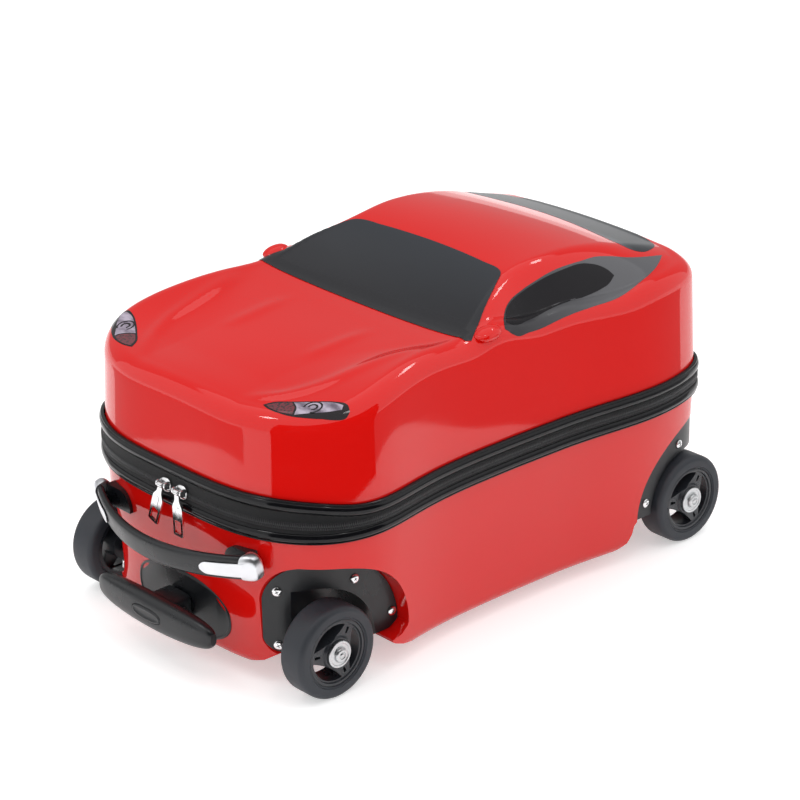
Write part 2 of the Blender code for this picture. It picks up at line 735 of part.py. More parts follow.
def make_pull(label, lean):
    """Hanging pull with a barrel round its bar at the world's origin, leaning to one side."""
    half = PULL_THICKNESS / 2
    neck = PULL_NECK_HALF_WIDTH
    wide = PULL_HALF_WIDTH
    foot = -PULL_LENGTH
    outline = ((-neck, -0.0012), (neck, -0.0012), (neck, -0.0080), (wide, -0.0120), (wide, foot + 0.002),
               (wide - 0.002, foot), (0.002 - wide, foot), (-wide, foot + 0.002),
               (-wide, -0.0120), (-neck, -0.0080))
    pull = loft("zipper_pull_" + label, [[(x, y, z) for x, z in outline] for y in (-half, half)])
    slot = wide - 0.0022
    combine(pull, box("slot", (-slot, -0.01, 0.0025 - PULL_LENGTH), (slot, 0.01, 0.0130 - PULL_LENGTH)))
    pull.data.transform(Matrix.Rotation(lean, 4, "Y"))
    bore = PULL_BAR_RADIUS + GAP
    outer = PULL_BARREL_RADIUS
    combine(pull, turned_solid("barrel", ((0, 0), (-neck, outer), (neck, outer), (0, 0)), 12), "UNION")
    combine(pull, turned_solid("bore", ((0, 0), (-0.01, bore), (0.01, bore), (0, 0)), 12))
    set_material(pull, "polished_metal")
    return pull


def screw_places(end):
    """Centres and outward directions of a housing's four screws on the +X side."""
    half = PLAN_SAMPLES // 2
    own = slice(0, half) if end < 0 else slice(PLAN_SAMPLES - 1, half, -1)
    plan = HOUSING_PLAN[own]
    normals = plan_normals(HOUSING_PLAN)[own]
    index = np.arange(len(plan))
    nose = np.interp(NOSE_SCREW_X, plan[:, 0], index)
    wanted = [(nose, z) for z in NOSE_SCREW_ZS]
    for y, z in SIDE_SCREWS[end_index(end)]:
        wanted.append((np.interp(-y, -np.abs(plan[:, 1]), index), z))
    places = []
    for k, z in wanted:
        x, y, out_x, out_y = (float(np.interp(k, index, row)) for row in (*plan.T, *normals.T))
        places.append(((x, y, z), (out_x, out_y, 0.0)))
    return places


def aligned(thing, direction, place):
    """Turn a part built along +X so that it points in a direction, and put it in place."""
    turn = Vector((1.0, 0.0, 0.0)).rotation_difference(Vector(direction)).to_matrix().to_4x4()
    thing.data.transform(Matrix.Translation(place) @ turn)
    return thing


def make_housing(end):
    """Wheel housing on the +X corner at one end, as one moulding with its wheel well."""
    heights = (HOUSING_BOTTOM_ZS[end_index(end)], 0.15)
    skin = loft("skin", [at_height(housing_ring(0.0), z) for z in heights], caps="strip")
    inner_ring = housing_ring(HOUSING_THICKNESS)
    hollow = loft("hollow", [at_height(inner_ring, z) for z in (0.0, 0.2)], caps="strip")
    combine(skin, hollow)
    combine(skin, pocket_prism(end, 1, -2 * GAP), "INTERSECT")
    liner = well_prism(end, 1, HOUSING_THICKNESS, 0.16)
    inside = loft("inside", [at_height(housing_ring(0.0005), z) for z in heights], caps="strip")
    combine(liner, inside, "INTERSECT")
    combine(skin, liner, "UNION")
    boss_end = WHEEL_FACE_X - WHEEL_WIDTH - 0.0025
    combine(skin, well_prism(end, 1, 0.0))
    boss = turned_solid("boss", ((0, 0), (WELL_INNER_X - 0.001, 0.0085), (boss_end, 0.0075), (0, 0)), 16)
    boss.data.transform(Matrix.Translation((0.0, end * AXLE_Y, WHEEL_RADIUS)))
    combine(skin, boss, "UNION")
    bore = turned_solid("bore", ((0, 0), (0.09, BOLT_RADIUS + GAP), (0.15, BOLT_RADIUS + GAP), (0, 0)), 16)
    bore.data.transform(Matrix.Translation((0.0, end * AXLE_Y, WHEEL_RADIUS)))
    combine(skin, bore)
    for place, direction in screw_places(end):
        radius = SCREW_SHANK_RADIUS + GAP
        hole = turned_solid("hole", ((0, 0), (-0.006, radius), (0.006, radius), (0, 0)), 8)
        combine(skin, aligned(hole, direction, place))
    return skin


def make_screw():
    """Domed screw along +X, its head resting just off the surface at x = 0."""
    profile = ((0, 0), (-HOUSING_THICKNESS, SCREW_SHANK_RADIUS), (GAP, SCREW_SHANK_RADIUS),
               (GAP, SCREW_HEAD_RADIUS), (0.0020, 0.0024), (0, 0))
    return turned_solid("screw", profile, 8)


def make_tyre():
    """Rubber tyre about X, its outer face at x = 0."""
    r = WHEEL_RADIUS
    s = TYRE_SHOULDER
    w = WHEEL_WIDTH
    inner = TYRE_INNER_RADIUS
    profile = ((0.0, inner), (0.0, r - s), (-0.3 * s, r - 0.3 * s), (-s, r), (s - w, r),
               (0.3 * s - w, r - 0.3 * s), (-w, r - s), (-w, inner))
    return turned("tyre", profile, 28, "tyre_rubber")


def make_hub():
    """Three-spoke wheel centre about X, its outer face at x = 0, with a pocket for the bearing."""
    rim = TYRE_INNER_RADIUS - GAP
    ring = rim - 0.0030
    boss = 0.0140
    pocket = BEARING_RADIUS + GAP
    w = WHEEL_WIDTH
    floor = 0.0018 - BEARING_WIDTH
    bore = BOLT_RADIUS + 0.0015
    profile = (
        (-0.0015, rim), (-0.0015, ring), (-0.0040, ring - 0.0012), (-0.0030, boss + 0.001), (0.0008, boss),
        (0.0008, pocket), (floor, pocket), (floor, bore), (0.001 - w, bore), (0.001 - w, boss),
        (-0.0150, ring), (0.0015 - w, ring), (0.0015 - w, rim),
    )
    hub = turned("hub", profile, 18, "wheel_plastic")
    for k in range(3):
        middle = math.pi / 2 + 2 * math.pi * k / 3
        window = ring_sector("window", boss + 0.0015, ring - 0.0018, middle, math.radians(39.0), 4)
        combine(hub, window)
    return hub


def ring_sector(name, inner, outer, middle, half_angle, steps):
    """Curved window-shaped prism about X."""
    points = []
    for k in range(steps + 1):
        angle = middle - half_angle + 2 * half_angle * k / steps
        points.append((outer * math.cos(angle), outer * math.sin(angle)))
    for k in range(steps + 1):
        angle = middle + half_angle - 2 * half_angle * k / steps
        points.append((inner * math.cos(angle), inner * math.sin(angle)))
    return prism_x(name, points, -0.03, 0.01)


def make_bearing():
    """Ball bearing as one ring about X, its outer face at x = 0."""
    bore = BOLT_RADIUS + GAP
    r = BEARING_RADIUS
    w = BEARING_WIDTH
    profile = ((0.0, bore), (0.0, r - 0.0003), (-0.0003, r), (-w, r), (-w, bore))
    return turned("bearing", profile, 16, "steel")


def make_axle_bolt():
    """Bolt along X with a domed head; x = 0 is the bearing's outer face."""
    reach = WELL_INNER_X - HOUSING_THICKNESS + 0.001
    face = WHEEL_FACE_X + 0.0020
    profile = ((0, 0), (reach - face, BOLT_RADIUS), (GAP, BOLT_RADIUS), (GAP, BOLT_HEAD_RADIUS),
               (BOLT_HEAD_HEIGHT - 0.001, BOLT_HEAD_RADIUS), (BOLT_HEAD_HEIGHT, BOLT_HEAD_RADIUS - 0.0012),
               (0, 0))
    return turned_solid("bolt", profile, 12)


def make_wheels():
    """Four wheels with their bearings, bolts, housings and screws."""
    tyre = make_tyre()
    hub = make_hub()
    bearing = make_bearing()
    bolt = make_axle_bolt()
    screw = make_screw()
    set_material(hub, "wheel_plastic")
    set_material(bolt, "steel")
    set_material(screw, "polished_metal")
    for end, end_name in ((-1, "front"), (1, "rear")):
        housing = make_housing(end)
        set_material(housing, "black_plastic")
        for side, side_name in ((1, "left"), (-1, "right")):
            label = end_name + "_" + side_name
            turn = Matrix.Rotation(0.0 if side > 0 else math.pi, 4, "Z")
            centre = Vector((side * (WHEEL_FACE_X - WHEEL_WIDTH / 2), end * AXLE_Y, WHEEL_RADIUS))
            face = Matrix.Translation((side * WHEEL_FACE_X, end * AXLE_Y, WHEEL_RADIUS)) @ turn
            outside = Matrix.Translation((side * (WHEEL_FACE_X + 0.0020), end * AXLE_Y, WHEEL_RADIUS)) @ turn
            placed_copy(tyre, "tyre_" + label, face, centre)
            placed_copy(hub, "wheel_hub_" + label, face, centre)
            placed_copy(bearing, "bearing_" + label, outside, centre)
            placed_copy(bolt, "axle_bolt_" + label, outside, centre)
            flip = Matrix.Diagonal((side, 1, 1, 1))
            placed_copy(housing, "wheel_housing_" + label, flip, (0.0, 0.0, 0.0))
            for number, (place, direction) in enumerate(screw_places(end), 1):
                spot = Vector((side * place[0], place[1], place[2]))
                way = Vector((side * direction[0], direction[1], 0.0))
                pose = Vector((1.0, 0.0, 0.0)).rotation_difference(way).to_matrix().to_4x4()
                pose = Matrix.Translation(spot) @ pose
                placed_copy(screw, "housing_screw_%s_%d" % (label, number), pose, spot)
        bpy.data.objects.remove(housing)
    for thing in (tyre, hub, bearing, bolt, screw):
        bpy.data.objects.remove(thing)


def handle_point(x, out, up):
    """World point of the drooping handle: out along its bow, up across its face."""
    c = math.cos(HANDLE_DROOP)
    s = math.sin(HANDLE_DROOP)
    return (x, HANDLE_PIVOT_Y - out * c - up * s, HANDLE_PIVOT_Z - out * s + up * c)


def handle_bow(x):
    """How far the handle's middle line stands out at x."""
    return HANDLE_BOW * (1 - (x / HANDLE_HALF_SPAN) ** 2)


def handle_sweep(name, x_low, x_high, steps, low, high, half_height, power=3.0):
    """Bar along the handle's bow, from low to high across its thickness."""
    rings = []
    for k in range(steps + 1):
        x = x_low + (x_high - x_low) * k / steps
        middle = handle_bow(x) + (low + high) / 2
        section = oval(half_height, (high - low) / 2, 12, power)
        rings.append([handle_point(x, middle + out, up) for up, out in section])
    return loft(name, rings)


def make_carry_handle():
    """Bowed front handle with bright end caps on two black mounts."""
    pivot = (0.0, HANDLE_PIVOT_Y, HANDLE_PIVOT_Z)
    half = HANDLE_THICKNESS / 2
    grip = handle_sweep("carry_handle_grip", -HANDLE_GRIP_HALF_SPAN, HANDLE_GRIP_HALF_SPAN, 16,
                        -half, half, HANDLE_HEIGHT / 2)
    set_material(grip, "black_plastic")
    move_origin(grip, pivot)
    for side, side_name in ((1, "left"), (-1, "right")):
        make_handle_cap(side, side_name)
        make_handle_mount(side, side_name)


def make_handle_cap(side, side_name):
    """Bright end cap: a block over the handle's end with a tongue along its front face."""
    half = HANDLE_THICKNESS / 2
    tongue = handle_sweep("tongue", side * CAP_TONGUE_X, side * (CAP_INNER_X + 0.004), 6,
                          half + GAP, half + GAP + CAP_PLATE, CAP_TONGUE_HALF_HEIGHT, 4.0)
    rings = []
    length = CAP_OUTER_X - CAP_INNER_X
    for part, share in ((0.0, 1.0), (0.35, 1.0), (0.7, 0.94), (0.9, 0.74), (1.0, 0.45)):
        x = CAP_INNER_X + length * part
        front = handle_bow(x) + half + GAP + CAP_PLATE
        middle = (front + CAP_BACK * share) / 2
        section = oval(CAP_HALF_HEIGHT * share, (front - CAP_BACK * share) / 2, 14, 3.4)
        rings.append([handle_point(side * x, middle + out, up) for up, out in section])
    block = loft("carry_handle_cap_" + side_name, rings)
    combine(block, tongue, "UNION")
    low, high = sorted((side * (CAP_INNER_X - 0.002), side * (CAP_INNER_X + 0.0100)))
    radius = PIN_RADIUS + GAP
    bore = turned_solid("bore", ((0, 0), (low, radius), (high, radius), (0, 0)), 12)
    bore.data.transform(Matrix.Translation((0.0, HANDLE_PIVOT_Y, HANDLE_PIVOT_Z)))
    combine(block, bore)
    set_material(block, "polished_metal")
    move_origin(block, (0.0, HANDLE_PIVOT_Y, HANDLE_PIVOT_Z))


def make_handle_mount(side, side_name):
    """Black block on the base's front that carries one hinge pin of the handle."""
    low = HANDLE_PIVOT_Z - MOUNT_HALF_HEIGHT
    high = HANDLE_PIVOT_Z + MOUNT_HALF_HEIGHT
    outline = [(MOUNT_OUTER_X, low), (MOUNT_OUTER_X, high)]
    radius = 2 * MOUNT_HALF_HEIGHT - 0.003
    for turn in np.linspace(0.0, math.pi / 2, 6):
        outline.append((MOUNT_INNER_X + radius * (1 - math.sin(turn)), high - radius * (1 - math.cos(turn))))
    outline.append((MOUNT_INNER_X, low))
    rings = [[(side * x, y, z) for x, z in outline] for y in (MOUNT_FRONT_Y, MOUNT_FRONT_Y + 0.02)]
    mount = loft("carry_handle_mount_" + side_name, rings)
    trim_to_wall(mount)
    start, stop = sorted((side * (MOUNT_OUTER_X - 0.003), side * (CAP_INNER_X + 0.0095)))
    pin = turned_solid("pin", ((0, 0), (start, PIN_RADIUS), (stop, PIN_RADIUS), (0, 0)), 12)
    pin.data.transform(Matrix.Translation((0.0, HANDLE_PIVOT_Y, HANDLE_PIVOT_Z)))
    combine(mount, pin, "UNION")
    set_material(mount, "black_plastic")


def tube(name, width, height, y_front, y_rear, origin):
    """Rounded rectangular tube along Y."""
    wall = TUBE_WALL
    outer = oval(width / 2, height / 2, 20, 5.0)
    inner = oval(width / 2 - wall, height / 2 - wall, 20, 5.0)
    sections = []
    for ring, y in ((outer, y_front), (outer, y_rear), (inner, y_rear), (inner, y_front)):
        sections.append([(x, y, TROLLEY_Z + z) for x, z in ring])
    return belt(name, sections, "aluminium", origin)


def make_trolley():
    """Pull-out handle: plate, three nested tubes, grip and release button."""
    step = 2 * (TUBE_WALL + TUBE_CLEARANCE)
    width, height = OUTER_TUBE_SIZE
    tube("trolley_tube_outer", width, height, TUBE_FRONT_Y, TUBE_REAR_Y, (0, 0, 0))
    middle = (0.0, TUBE_FRONT_Y - 0.006, TROLLEY_Z)
    tube("trolley_tube_middle", width - step, height - step, TUBE_FRONT_Y - 0.0065,
         TUBE_REAR_Y - 0.012, middle)
    grip_origin = (0.0, GRIP_FRONT_Y + 0.010, TROLLEY_Z)
    tube("trolley_tube_inner", width - 2 * step, height - 2 * step, GRIP_FRONT_Y + 0.014,
         TUBE_REAR_Y - 0.024, grip_origin)

    face = BEZEL_FACE_Y
    rings = []
    for y, grow in ((face + 0.012, 0.0), (face + 0.0010, 0.0), (face, -0.0012)):
        rings.append([(x, y + bezel_sweep(x), TROLLEY_Z + z)
                      for x, z in oval(BEZEL_HALF_LENGTH + grow, BEZEL_HALF_HEIGHT + grow, 28, 2.4)])
    bezel = loft("trolley_bezel", rings)
    trim_to_wall(bezel)
    collar_half = (width / 2 + 0.0030, height / 2 + 0.0030)
    collar = loft("collar", [[(x, y, TROLLEY_Z + z) for x, z in oval(*collar_half, 20, 5.0)]
                             for y in (face + 0.0015, TUBE_FRONT_Y + 0.012)])
    combine(bezel, collar, "UNION")
    seat_half = (width / 2 + GAP, height / 2 + GAP)
    seat = loft("seat", [[(x, y, TROLLEY_Z + z) for x, z in oval(*seat_half, 20, 5.0)]
                         for y in (TUBE_FRONT_Y - GAP, TUBE_FRONT_Y + 0.03)])
    combine(bezel, seat)
    pass_half = (width / 2 - TUBE_WALL, height / 2 - TUBE_WALL)
    way = loft("way", [[(x, y, TROLLEY_Z + z) for x, z in oval(*pass_half, 20, 5.0)]
                       for y in (face - 0.01, TUBE_FRONT_Y + 0.002)])
    combine(bezel, way)
    set_material(bezel, "black_plastic")

    grip = make_trolley_grip(width - 2 * step, height - 2 * step)
    move_origin(grip, grip_origin)


def bezel_sweep(x):
    """How far the front plate's ends lie behind its middle."""
    return BEZEL_SWEEP * (abs(x) / BEZEL_HALF_LENGTH) ** 2


def grip_sweep(x):
    """How far the grip's ends lie behind its middle."""
    return GRIP_SWEEP * (abs(x) / GRIP_HALF_LENGTH) ** 2


def make_trolley_grip(tube_width, tube_height):
    """Boomerang-shaped grip with its neck, and the button in its front face."""
    rings = []
    steps = 14
    for k in range(steps + 1):
        angle = math.pi * k / steps
        x = -GRIP_HALF_LENGTH * math.cos(angle)
        share = max(math.sin(angle), 0.12) ** 0.5
        centre_y = GRIP_FRONT_Y + GRIP_DEPTH / 2 + grip_sweep(x)
        section = oval(GRIP_HALF_HEIGHT * share, GRIP_DEPTH / 2 * share, 14, 2.6)
        rings.append([(x, centre_y + out, TROLLEY_Z + up) for up, out in section])
    grip = loft("trolley_grip", rings)
    neck_rings = []
    for y in (GRIP_FRONT_Y + GRIP_DEPTH - 0.004, BEZEL_FACE_Y - 0.0012):
        section = oval(NECK_HALF_WIDTH, NECK_HALF_HEIGHT, 16, 5.0)
        neck_rings.append([(x, y, TROLLEY_Z + z) for x, z in section])
    combine(grip, loft("neck", neck_rings), "UNION")
    socket = (tube_width / 2 + GAP, tube_height / 2 + GAP)
    combine(grip, loft("socket", [[(x, y, TROLLEY_Z + z) for x, z in oval(*socket, 20, 5.0)]
                                  for y in (GRIP_FRONT_Y + 0.014 - GAP, -0.20)]))
    pocket_size = (BUTTON_HALF_LENGTH + GAP, BUTTON_HALF_HEIGHT + GAP)
    combine(grip, loft("pocket", [[(x, y, TROLLEY_Z + z) for x, z in oval(*pocket_size, 20, 2.6)]
                                  for y in (GRIP_FRONT_Y - 0.01, GRIP_FRONT_Y + 0.0085)]))
    side_screw = Vector((NECK_HALF_WIDTH, -0.2440, TROLLEY_Z))
    radius = SCREW_SHANK_RADIUS + GAP
    hole = turned_solid("hole", ((0, 0), (-0.0024, radius), (0.004, radius), (0, 0)), 8)
    combine(grip, aligned(hole, (1.0, 0.0, 0.0), side_screw))
    set_material(grip, "black_plastic")

    button_rings = []
    for y, grow in ((GRIP_FRONT_Y + 0.0040, 0.0), (GRIP_FRONT_Y + 0.0002, 0.0),
                    (GRIP_FRONT_Y - 0.0008, -0.0008)):
        button_rings.append([(x, y + 1.5 * x * x, TROLLEY_Z + z) for x, z in
                             oval(BUTTON_HALF_LENGTH + grow, BUTTON_HALF_HEIGHT + grow, 20, 2.6)])
    button = loft("trolley_button", button_rings)
    set_material(button, "black_plastic")
    move_origin(button, (0.0, GRIP_FRONT_Y, TROLLEY_Z))

    profile = ((0, 0), (-0.0020, SCREW_SHANK_RADIUS), (GAP, SCREW_SHANK_RADIUS), (GAP, 0.0030),
               (0.0010, 0.0030), (0.0017, 0.0018), (0, 0))
    screw = aligned(turned_solid("trolley_grip_screw", profile, 10), (1.0, 0.0, 0.0), side_screw)
    set_material(screw, "steel")
    move_origin(screw, side_screw)
    return grip


for leftover in list(bpy.data.objects):
    bpy.data.objects.remove(leftover)
MATERIALS = make_materials()
make_lid()
make_base()
make_band()
make_hinge()
make_sliders()
make_wheels()
make_carry_handle()
make_trolley()
for thing in bpy.context.scene.collection.objects:
    thing.location.y += MIDDLE_SHIFT_Y
    thing.data.shade_smooth()
    thing.data.set_sharp_from_angle(angle=math.radians(35.0))
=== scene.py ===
"""Car-shaped hard-shell suitcase: fine surfaces, materials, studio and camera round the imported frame."""
import math

import bmesh
import bpy
import numpy as np
from mathutils import Matrix, Vector
from mathutils.bvhtree import BVHTree
from mathutils.geometry import delaunay_2d_cdt


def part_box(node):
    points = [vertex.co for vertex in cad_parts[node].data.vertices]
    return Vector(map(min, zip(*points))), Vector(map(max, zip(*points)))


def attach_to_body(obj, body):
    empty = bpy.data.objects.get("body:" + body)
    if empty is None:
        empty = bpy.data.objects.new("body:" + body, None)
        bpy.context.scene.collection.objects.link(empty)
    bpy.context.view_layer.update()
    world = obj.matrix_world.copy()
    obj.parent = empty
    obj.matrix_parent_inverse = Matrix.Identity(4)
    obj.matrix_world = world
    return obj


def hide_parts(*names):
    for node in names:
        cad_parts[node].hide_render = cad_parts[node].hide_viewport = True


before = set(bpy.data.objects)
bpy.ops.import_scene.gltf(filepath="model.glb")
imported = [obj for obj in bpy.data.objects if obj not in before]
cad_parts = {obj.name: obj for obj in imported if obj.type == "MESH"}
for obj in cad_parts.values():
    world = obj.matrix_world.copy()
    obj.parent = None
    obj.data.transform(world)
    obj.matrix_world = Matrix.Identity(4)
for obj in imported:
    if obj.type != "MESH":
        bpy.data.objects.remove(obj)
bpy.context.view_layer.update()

# Shapes are drawn about the middle of the wheelbase, and each object is moved back by this much
SHIFT_Y = 0.0165
GAP = 0.0003

# Angles in degrees over which an edge is kept crisp, or is rounded by a bevel
SHARP_ANGLE = 35.0
SOFTEN_ANGLE = 32.0
WELD_DISTANCE = 0.00001

# Camera, in degrees, metres and pixels of a picture 800 pixels wide
CAMERA_AZIMUTH = 48.10
CAMERA_ELEVATION = 23.30
CAMERA_ROLL = -1.00
CAMERA_DISTANCE = 2.4298
CAMERA_TARGET = (0.0, SHIFT_Y, 0.130)
PICTURE_SIZE = 800
FOCAL_PIXELS = 2959.6
OPTICAL_CENTRE = (400.05, 415.58)
SENSOR_WIDTH = 36.0

# Plan of the body, the same as in the CAD part
FRONT_LENGTH = 0.2398
REAR_LENGTH = 0.2354
FRONT_CORNER_POWER = 3.65
REAR_CORNER_POWER = 8.1
WAIST_HALF_WIDTH = 0.1403
FRONT_FENDER = (-0.187, 0.0279, 0.0735)
REAR_FENDER = (0.151, 0.0094, 0.068)

# How finely the plans are drawn, and how much closer together points are where they turn
PLAN_SAMPLES = 1441
PLAN_STEPS = 150
HOUSING_STEPS = 80
COIL_LINE_STEPS = 900
CORNER_WEIGHT = 0.10

# Shells and the band between them
SHELL_THICKNESS = 0.0024
SHELL_INSET = 0.0042
SPLIT_Z = 0.1424
SHELL_EDGE_GAP = 0.003
LID_DRAFT = 0.0028
LID_EDGE_RADIUS = 0.016
LID_CROWN_INSET = 0.044
LID_WALL_LEVELS = 12
LID_ARC_LEVELS = 9
LID_BORDER_LEVELS = 8
LID_CROWN_LEVELS = 40
LID_CROWN_LAST = 0.02
LID_CROWN_SQUASH = 0.10
BAND_TOP_Z = 0.1561
BAND_BOTTOM_Z = 0.1287
BAND_TOP_RISE = 0.0074
BAND_BOTTOM_DROP = 0.0022
BAND_RISE_Y = -0.190
BAND_RISE_SPREAD = 0.012
PIPING_HEIGHT = 0.0090
PIPING_SECTION = (
    (0.0022, 0.0), (0.0013, 0.04), (0.0007, 0.12), (0.0002, 0.25), (0.0, 0.42), (0.0001, 0.58),
    (0.0005, 0.70), (0.0012, 0.78), (0.0016, 0.815), (0.0012, 0.85), (0.0011, 0.91), (0.0016, 0.97),
    (0.0024, 1.0),
)
TAPE_INSET = 0.0013
TAPE_CLEARANCE = 0.0001
TAPE_SAG = 0.0004
HINGE_HALF_WIDTH = 0.085
HINGE_REACH_Y = 0.006

# Loops of the zipper's coil: their size, then as shares the places up a loop as (height, width, how
# proud) and across it as (place, lift)
COIL_PITCH = 0.0017
COIL_HALF_WIDTH = 0.30 * COIL_PITCH
COIL_INSET = TAPE_INSET + 0.0002
COIL_HEIGHT = 0.0030
COIL_PROUD = 0.0008
COIL_LEVELS = ((-0.22, 0.5, 0.0), (-0.10, 1.0, 0.75), (0.5, 0.9, 1.0), (0.86, 0.9, 0.8), (1.0, 0.6, 0.0))
COIL_ACROSS = ((-1, 0.0), (-0.6, 0.75), (0.6, 0.75), (1, 0.0))

# Wing mirror bumps
MIRROR_PLACE = (0.1265, -0.022)
MIRROR_HALF_SIZES = (0.0120, 0.0085, 0.0062)
MIRROR_TURNS = (84.0, -60.0)
MIRROR_LEAN = 0.0035
MIRROR_POWER = 2.3

# Height of the lid along its middle, along its shoulder, and where the roof starts to fall
CENTRE_LINE = (
    (-0.245, 0.2200), (-0.228, 0.2265), (-0.180, 0.2330), (-0.120, 0.2380), (-0.060, 0.2410),
    (-0.036, 0.2425), (0.000, 0.2570), (0.036, 0.2705), (0.090, 0.2770), (0.140, 0.2710),
    (0.172, 0.2618), (0.215, 0.2488), (0.240, 0.2410),
)
SHOULDER_LINE = (
    (-0.245, 0.2150), (-0.222, 0.2205), (-0.180, 0.2320), (-0.130, 0.2440), (-0.090, 0.2490),
    (-0.040, 0.2480), (0.005, 0.2330), (0.060, 0.2290), (0.120, 0.2290), (0.165, 0.2378),
    (0.205, 0.2378), (0.240, 0.2300),
)
ROOF_HALF_WIDTH = (
    (-0.245, 0.060), (-0.120, 0.064), (-0.040, 0.112), (0.000, 0.101), (0.029, 0.090),
    (0.080, 0.090), (0.140, 0.088), (0.190, 0.084), (0.240, 0.082),
)
EDGE_RISE = (
    (-0.245, -0.0030), (-0.120, 0.0000), (-0.040, 0.0035), (0.000, 0.0045), (0.029, 0.0020),
    (0.080, -0.0010), (0.240, -0.0030),
)

# Soft ridges pressed into the hood: how far out they lie along y, their height, half width and span
HOOD_RIDGES = (
    (((-0.215, 0.058), (-0.190, 0.080), (-0.165, 0.092), (-0.130, 0.099), (-0.100, 0.105),
      (-0.070, 0.113)), 0.0015, 0.0075, (-0.206, -0.074)),
    (((-0.150, 0.046), (-0.128, 0.047), (-0.104, 0.048), (-0.070, 0.050)),
     0.0009, 0.0070, (-0.136, -0.076)),
)
RIDGE_FADE_IN = (-0.012, 0.016)
RIDGE_FADE_OUT = (-0.022, 0.010)

# Plan outlines of the printed windows and lamps on the +X side, in millimetres
HALF_WINDSCREEN = (
    (0, -44), (60, -44.5), (100, -44.5), (124, -43), (126, -38), (110, -10), (96, 17), (86, 32),
    (60, 37), (0, 40.5),
)
HALF_REAR_WINDOW = (
    (0, 170), (33, 168), (67, 163), (88, 161), (97, 165), (102, 175), (99, 190), (88, 207),
    (60, 218), (30, 222), (0, 223),
)
SIDE_WINDOW = (
    (129, -5), (126, -3), (115, 8), (109, 20), (105.5, 38), (104.5, 55), (104, 80), (104, 104),
    (103.5, 121), (105, 137), (107.5, 154), (108, 174), (107, 196), (114, 186), (121, 173),
    (129, 146), (133, 119), (132.5, 92), (131.5, 54), (132, 22), (132, 1),
)
SIDE_GLASS = (
    (124, 1), (114, 11), (109, 23), (106.5, 37), (105.5, 54), (105.5, 79), (105.5, 103), (107, 112),
    (109, 119), (113, 126), (117, 129), (120, 120), (121, 109), (121, 76), (122, 47), (125, 24),
    (127, 5),
)
LAMP = (
    (80, -209), (84, -201), (95, -192), (110, -181.5), (123, -174.5), (134, -172), (138.5, -174),
    (139.5, -178), (137, -183.5), (127, -193.5), (116, -201.5), (110, -205), (99, -209), (87, -210.5),
)
LAMP_GRILLE = (
    (82.5, -208), (86, -201.5), (95.5, -193.5), (103, -197.5), (108, -204.2), (99, -207.8),
    (89, -209.2),
)
LAMP_LENS = (
    (96.5, -192.5), (110, -183.2), (122, -176.5), (132, -174.5), (134, -178), (127, -187),
    (118, -195.5), (109.5, -203.4), (104.5, -196.8),
)
LAMP_RING_CENTRE = (114, -189)
LAMP_RINGS = ((3.4, 1.6), (7.0, 1.4))
LAMP_RING_TURNS = (-60.0, 210.0)

# Prints: thickness of one layer, distance at which two points are one, spacing of their points, how
# their outlines are rounded, and the height from which they are dropped on the lid
PRINT_LAYER = 0.00016
PRINT_NEARNESS = 0.000001
PRINT_GRID = 0.0026
SCREEN_GRID = 0.0018
SIDE_GRID = 0.0013
RING_GRID = 0.0012
OUTLINE_CORNER = math.radians(50.0)
OUTLINE_STEP = 0.0016
RIM_SHARE = 0.45
DROP_HEIGHT = 0.4

# How far the bodies that cut the base reach to its side, along it and below it
CUT_X = 0.17
CUT_Y = 0.26
CUT_START_Y = 0.05
CUT_Z = -0.02
CUT_MORE = 0.01

# Lower shell and wheel housings; pairs are (front, rear). LIP_FEET rounds the foot of a recess's lip
BASE_DRAFT = 0.0050
BASE_BOTTOM_Z = 0.011
BASE_EDGE_RADIUS = 0.011
HOUSING_HALF_WIDTHS = (0.1300, 0.1390)
HOUSING_LENGTHS = (0.2345, 0.2300)
HOUSING_POWERS = (4.2, 8.1)
HOUSING_THICKNESS = 0.0025
HOUSING_INNER_X = 0.0865
HOUSING_CORNER_RADIUS = 0.038
HOUSING_FOOT_RADIUS = 0.016
HOUSING_TOP_ZS = (0.105, 0.106)
HOUSING_BOTTOM_ZS = (0.028, 0.036)
HOUSING_SLACK = 0.0005
LIP_FEET = (((0.0015, 0.0055), (0.0080, 0.0010), (0.0180, 0.0)), ((0.0, 0.0),))
ARCH_CENTRES = ((0.193, 0.036), (0.215, 0.038))
ARCH_HALF_LENGTHS = (0.0725, 0.079)
WELL_INNER_X = 0.104
WELL_INNER_YS = (0.143, 0.1545)
WELL_TOP_Z = 0.0797
WELL_CORNER_RADII = (0.050, 0.044)
AXLE_BOSS_RADII = (0.0085, 0.0075)

# Lower edge of the base where it rises towards the wheels, as (distance from the middle, z)
SILLS = (
    ((0.150, 0.0330), (0.137, 0.0240), (0.126, 0.0190), (0.116, 0.0160), (0.104, 0.0105)),
    ((0.136, 0.0360), (0.133, 0.0330), (0.131, 0.0260), (0.126, 0.0190), (0.117, 0.0145), (0.104, 0.0105)),
)
CHIN = ((0.052, 0.0105), (0.0685, 0.0135), (0.087, 0.0200), (0.107, 0.0335))
CHIN_START_Y = 0.145

# Housing screws: across the nose face, then along the side as (distance from the middle, z)
NOSE_SCREW_X = 0.0970
NOSE_SCREW_ZS = (0.0803, 0.0345)
SIDE_SCREWS = (((0.1604, 0.0815), (0.1267, 0.0434)), ((0.1908, 0.0878), (0.1478, 0.0488)))

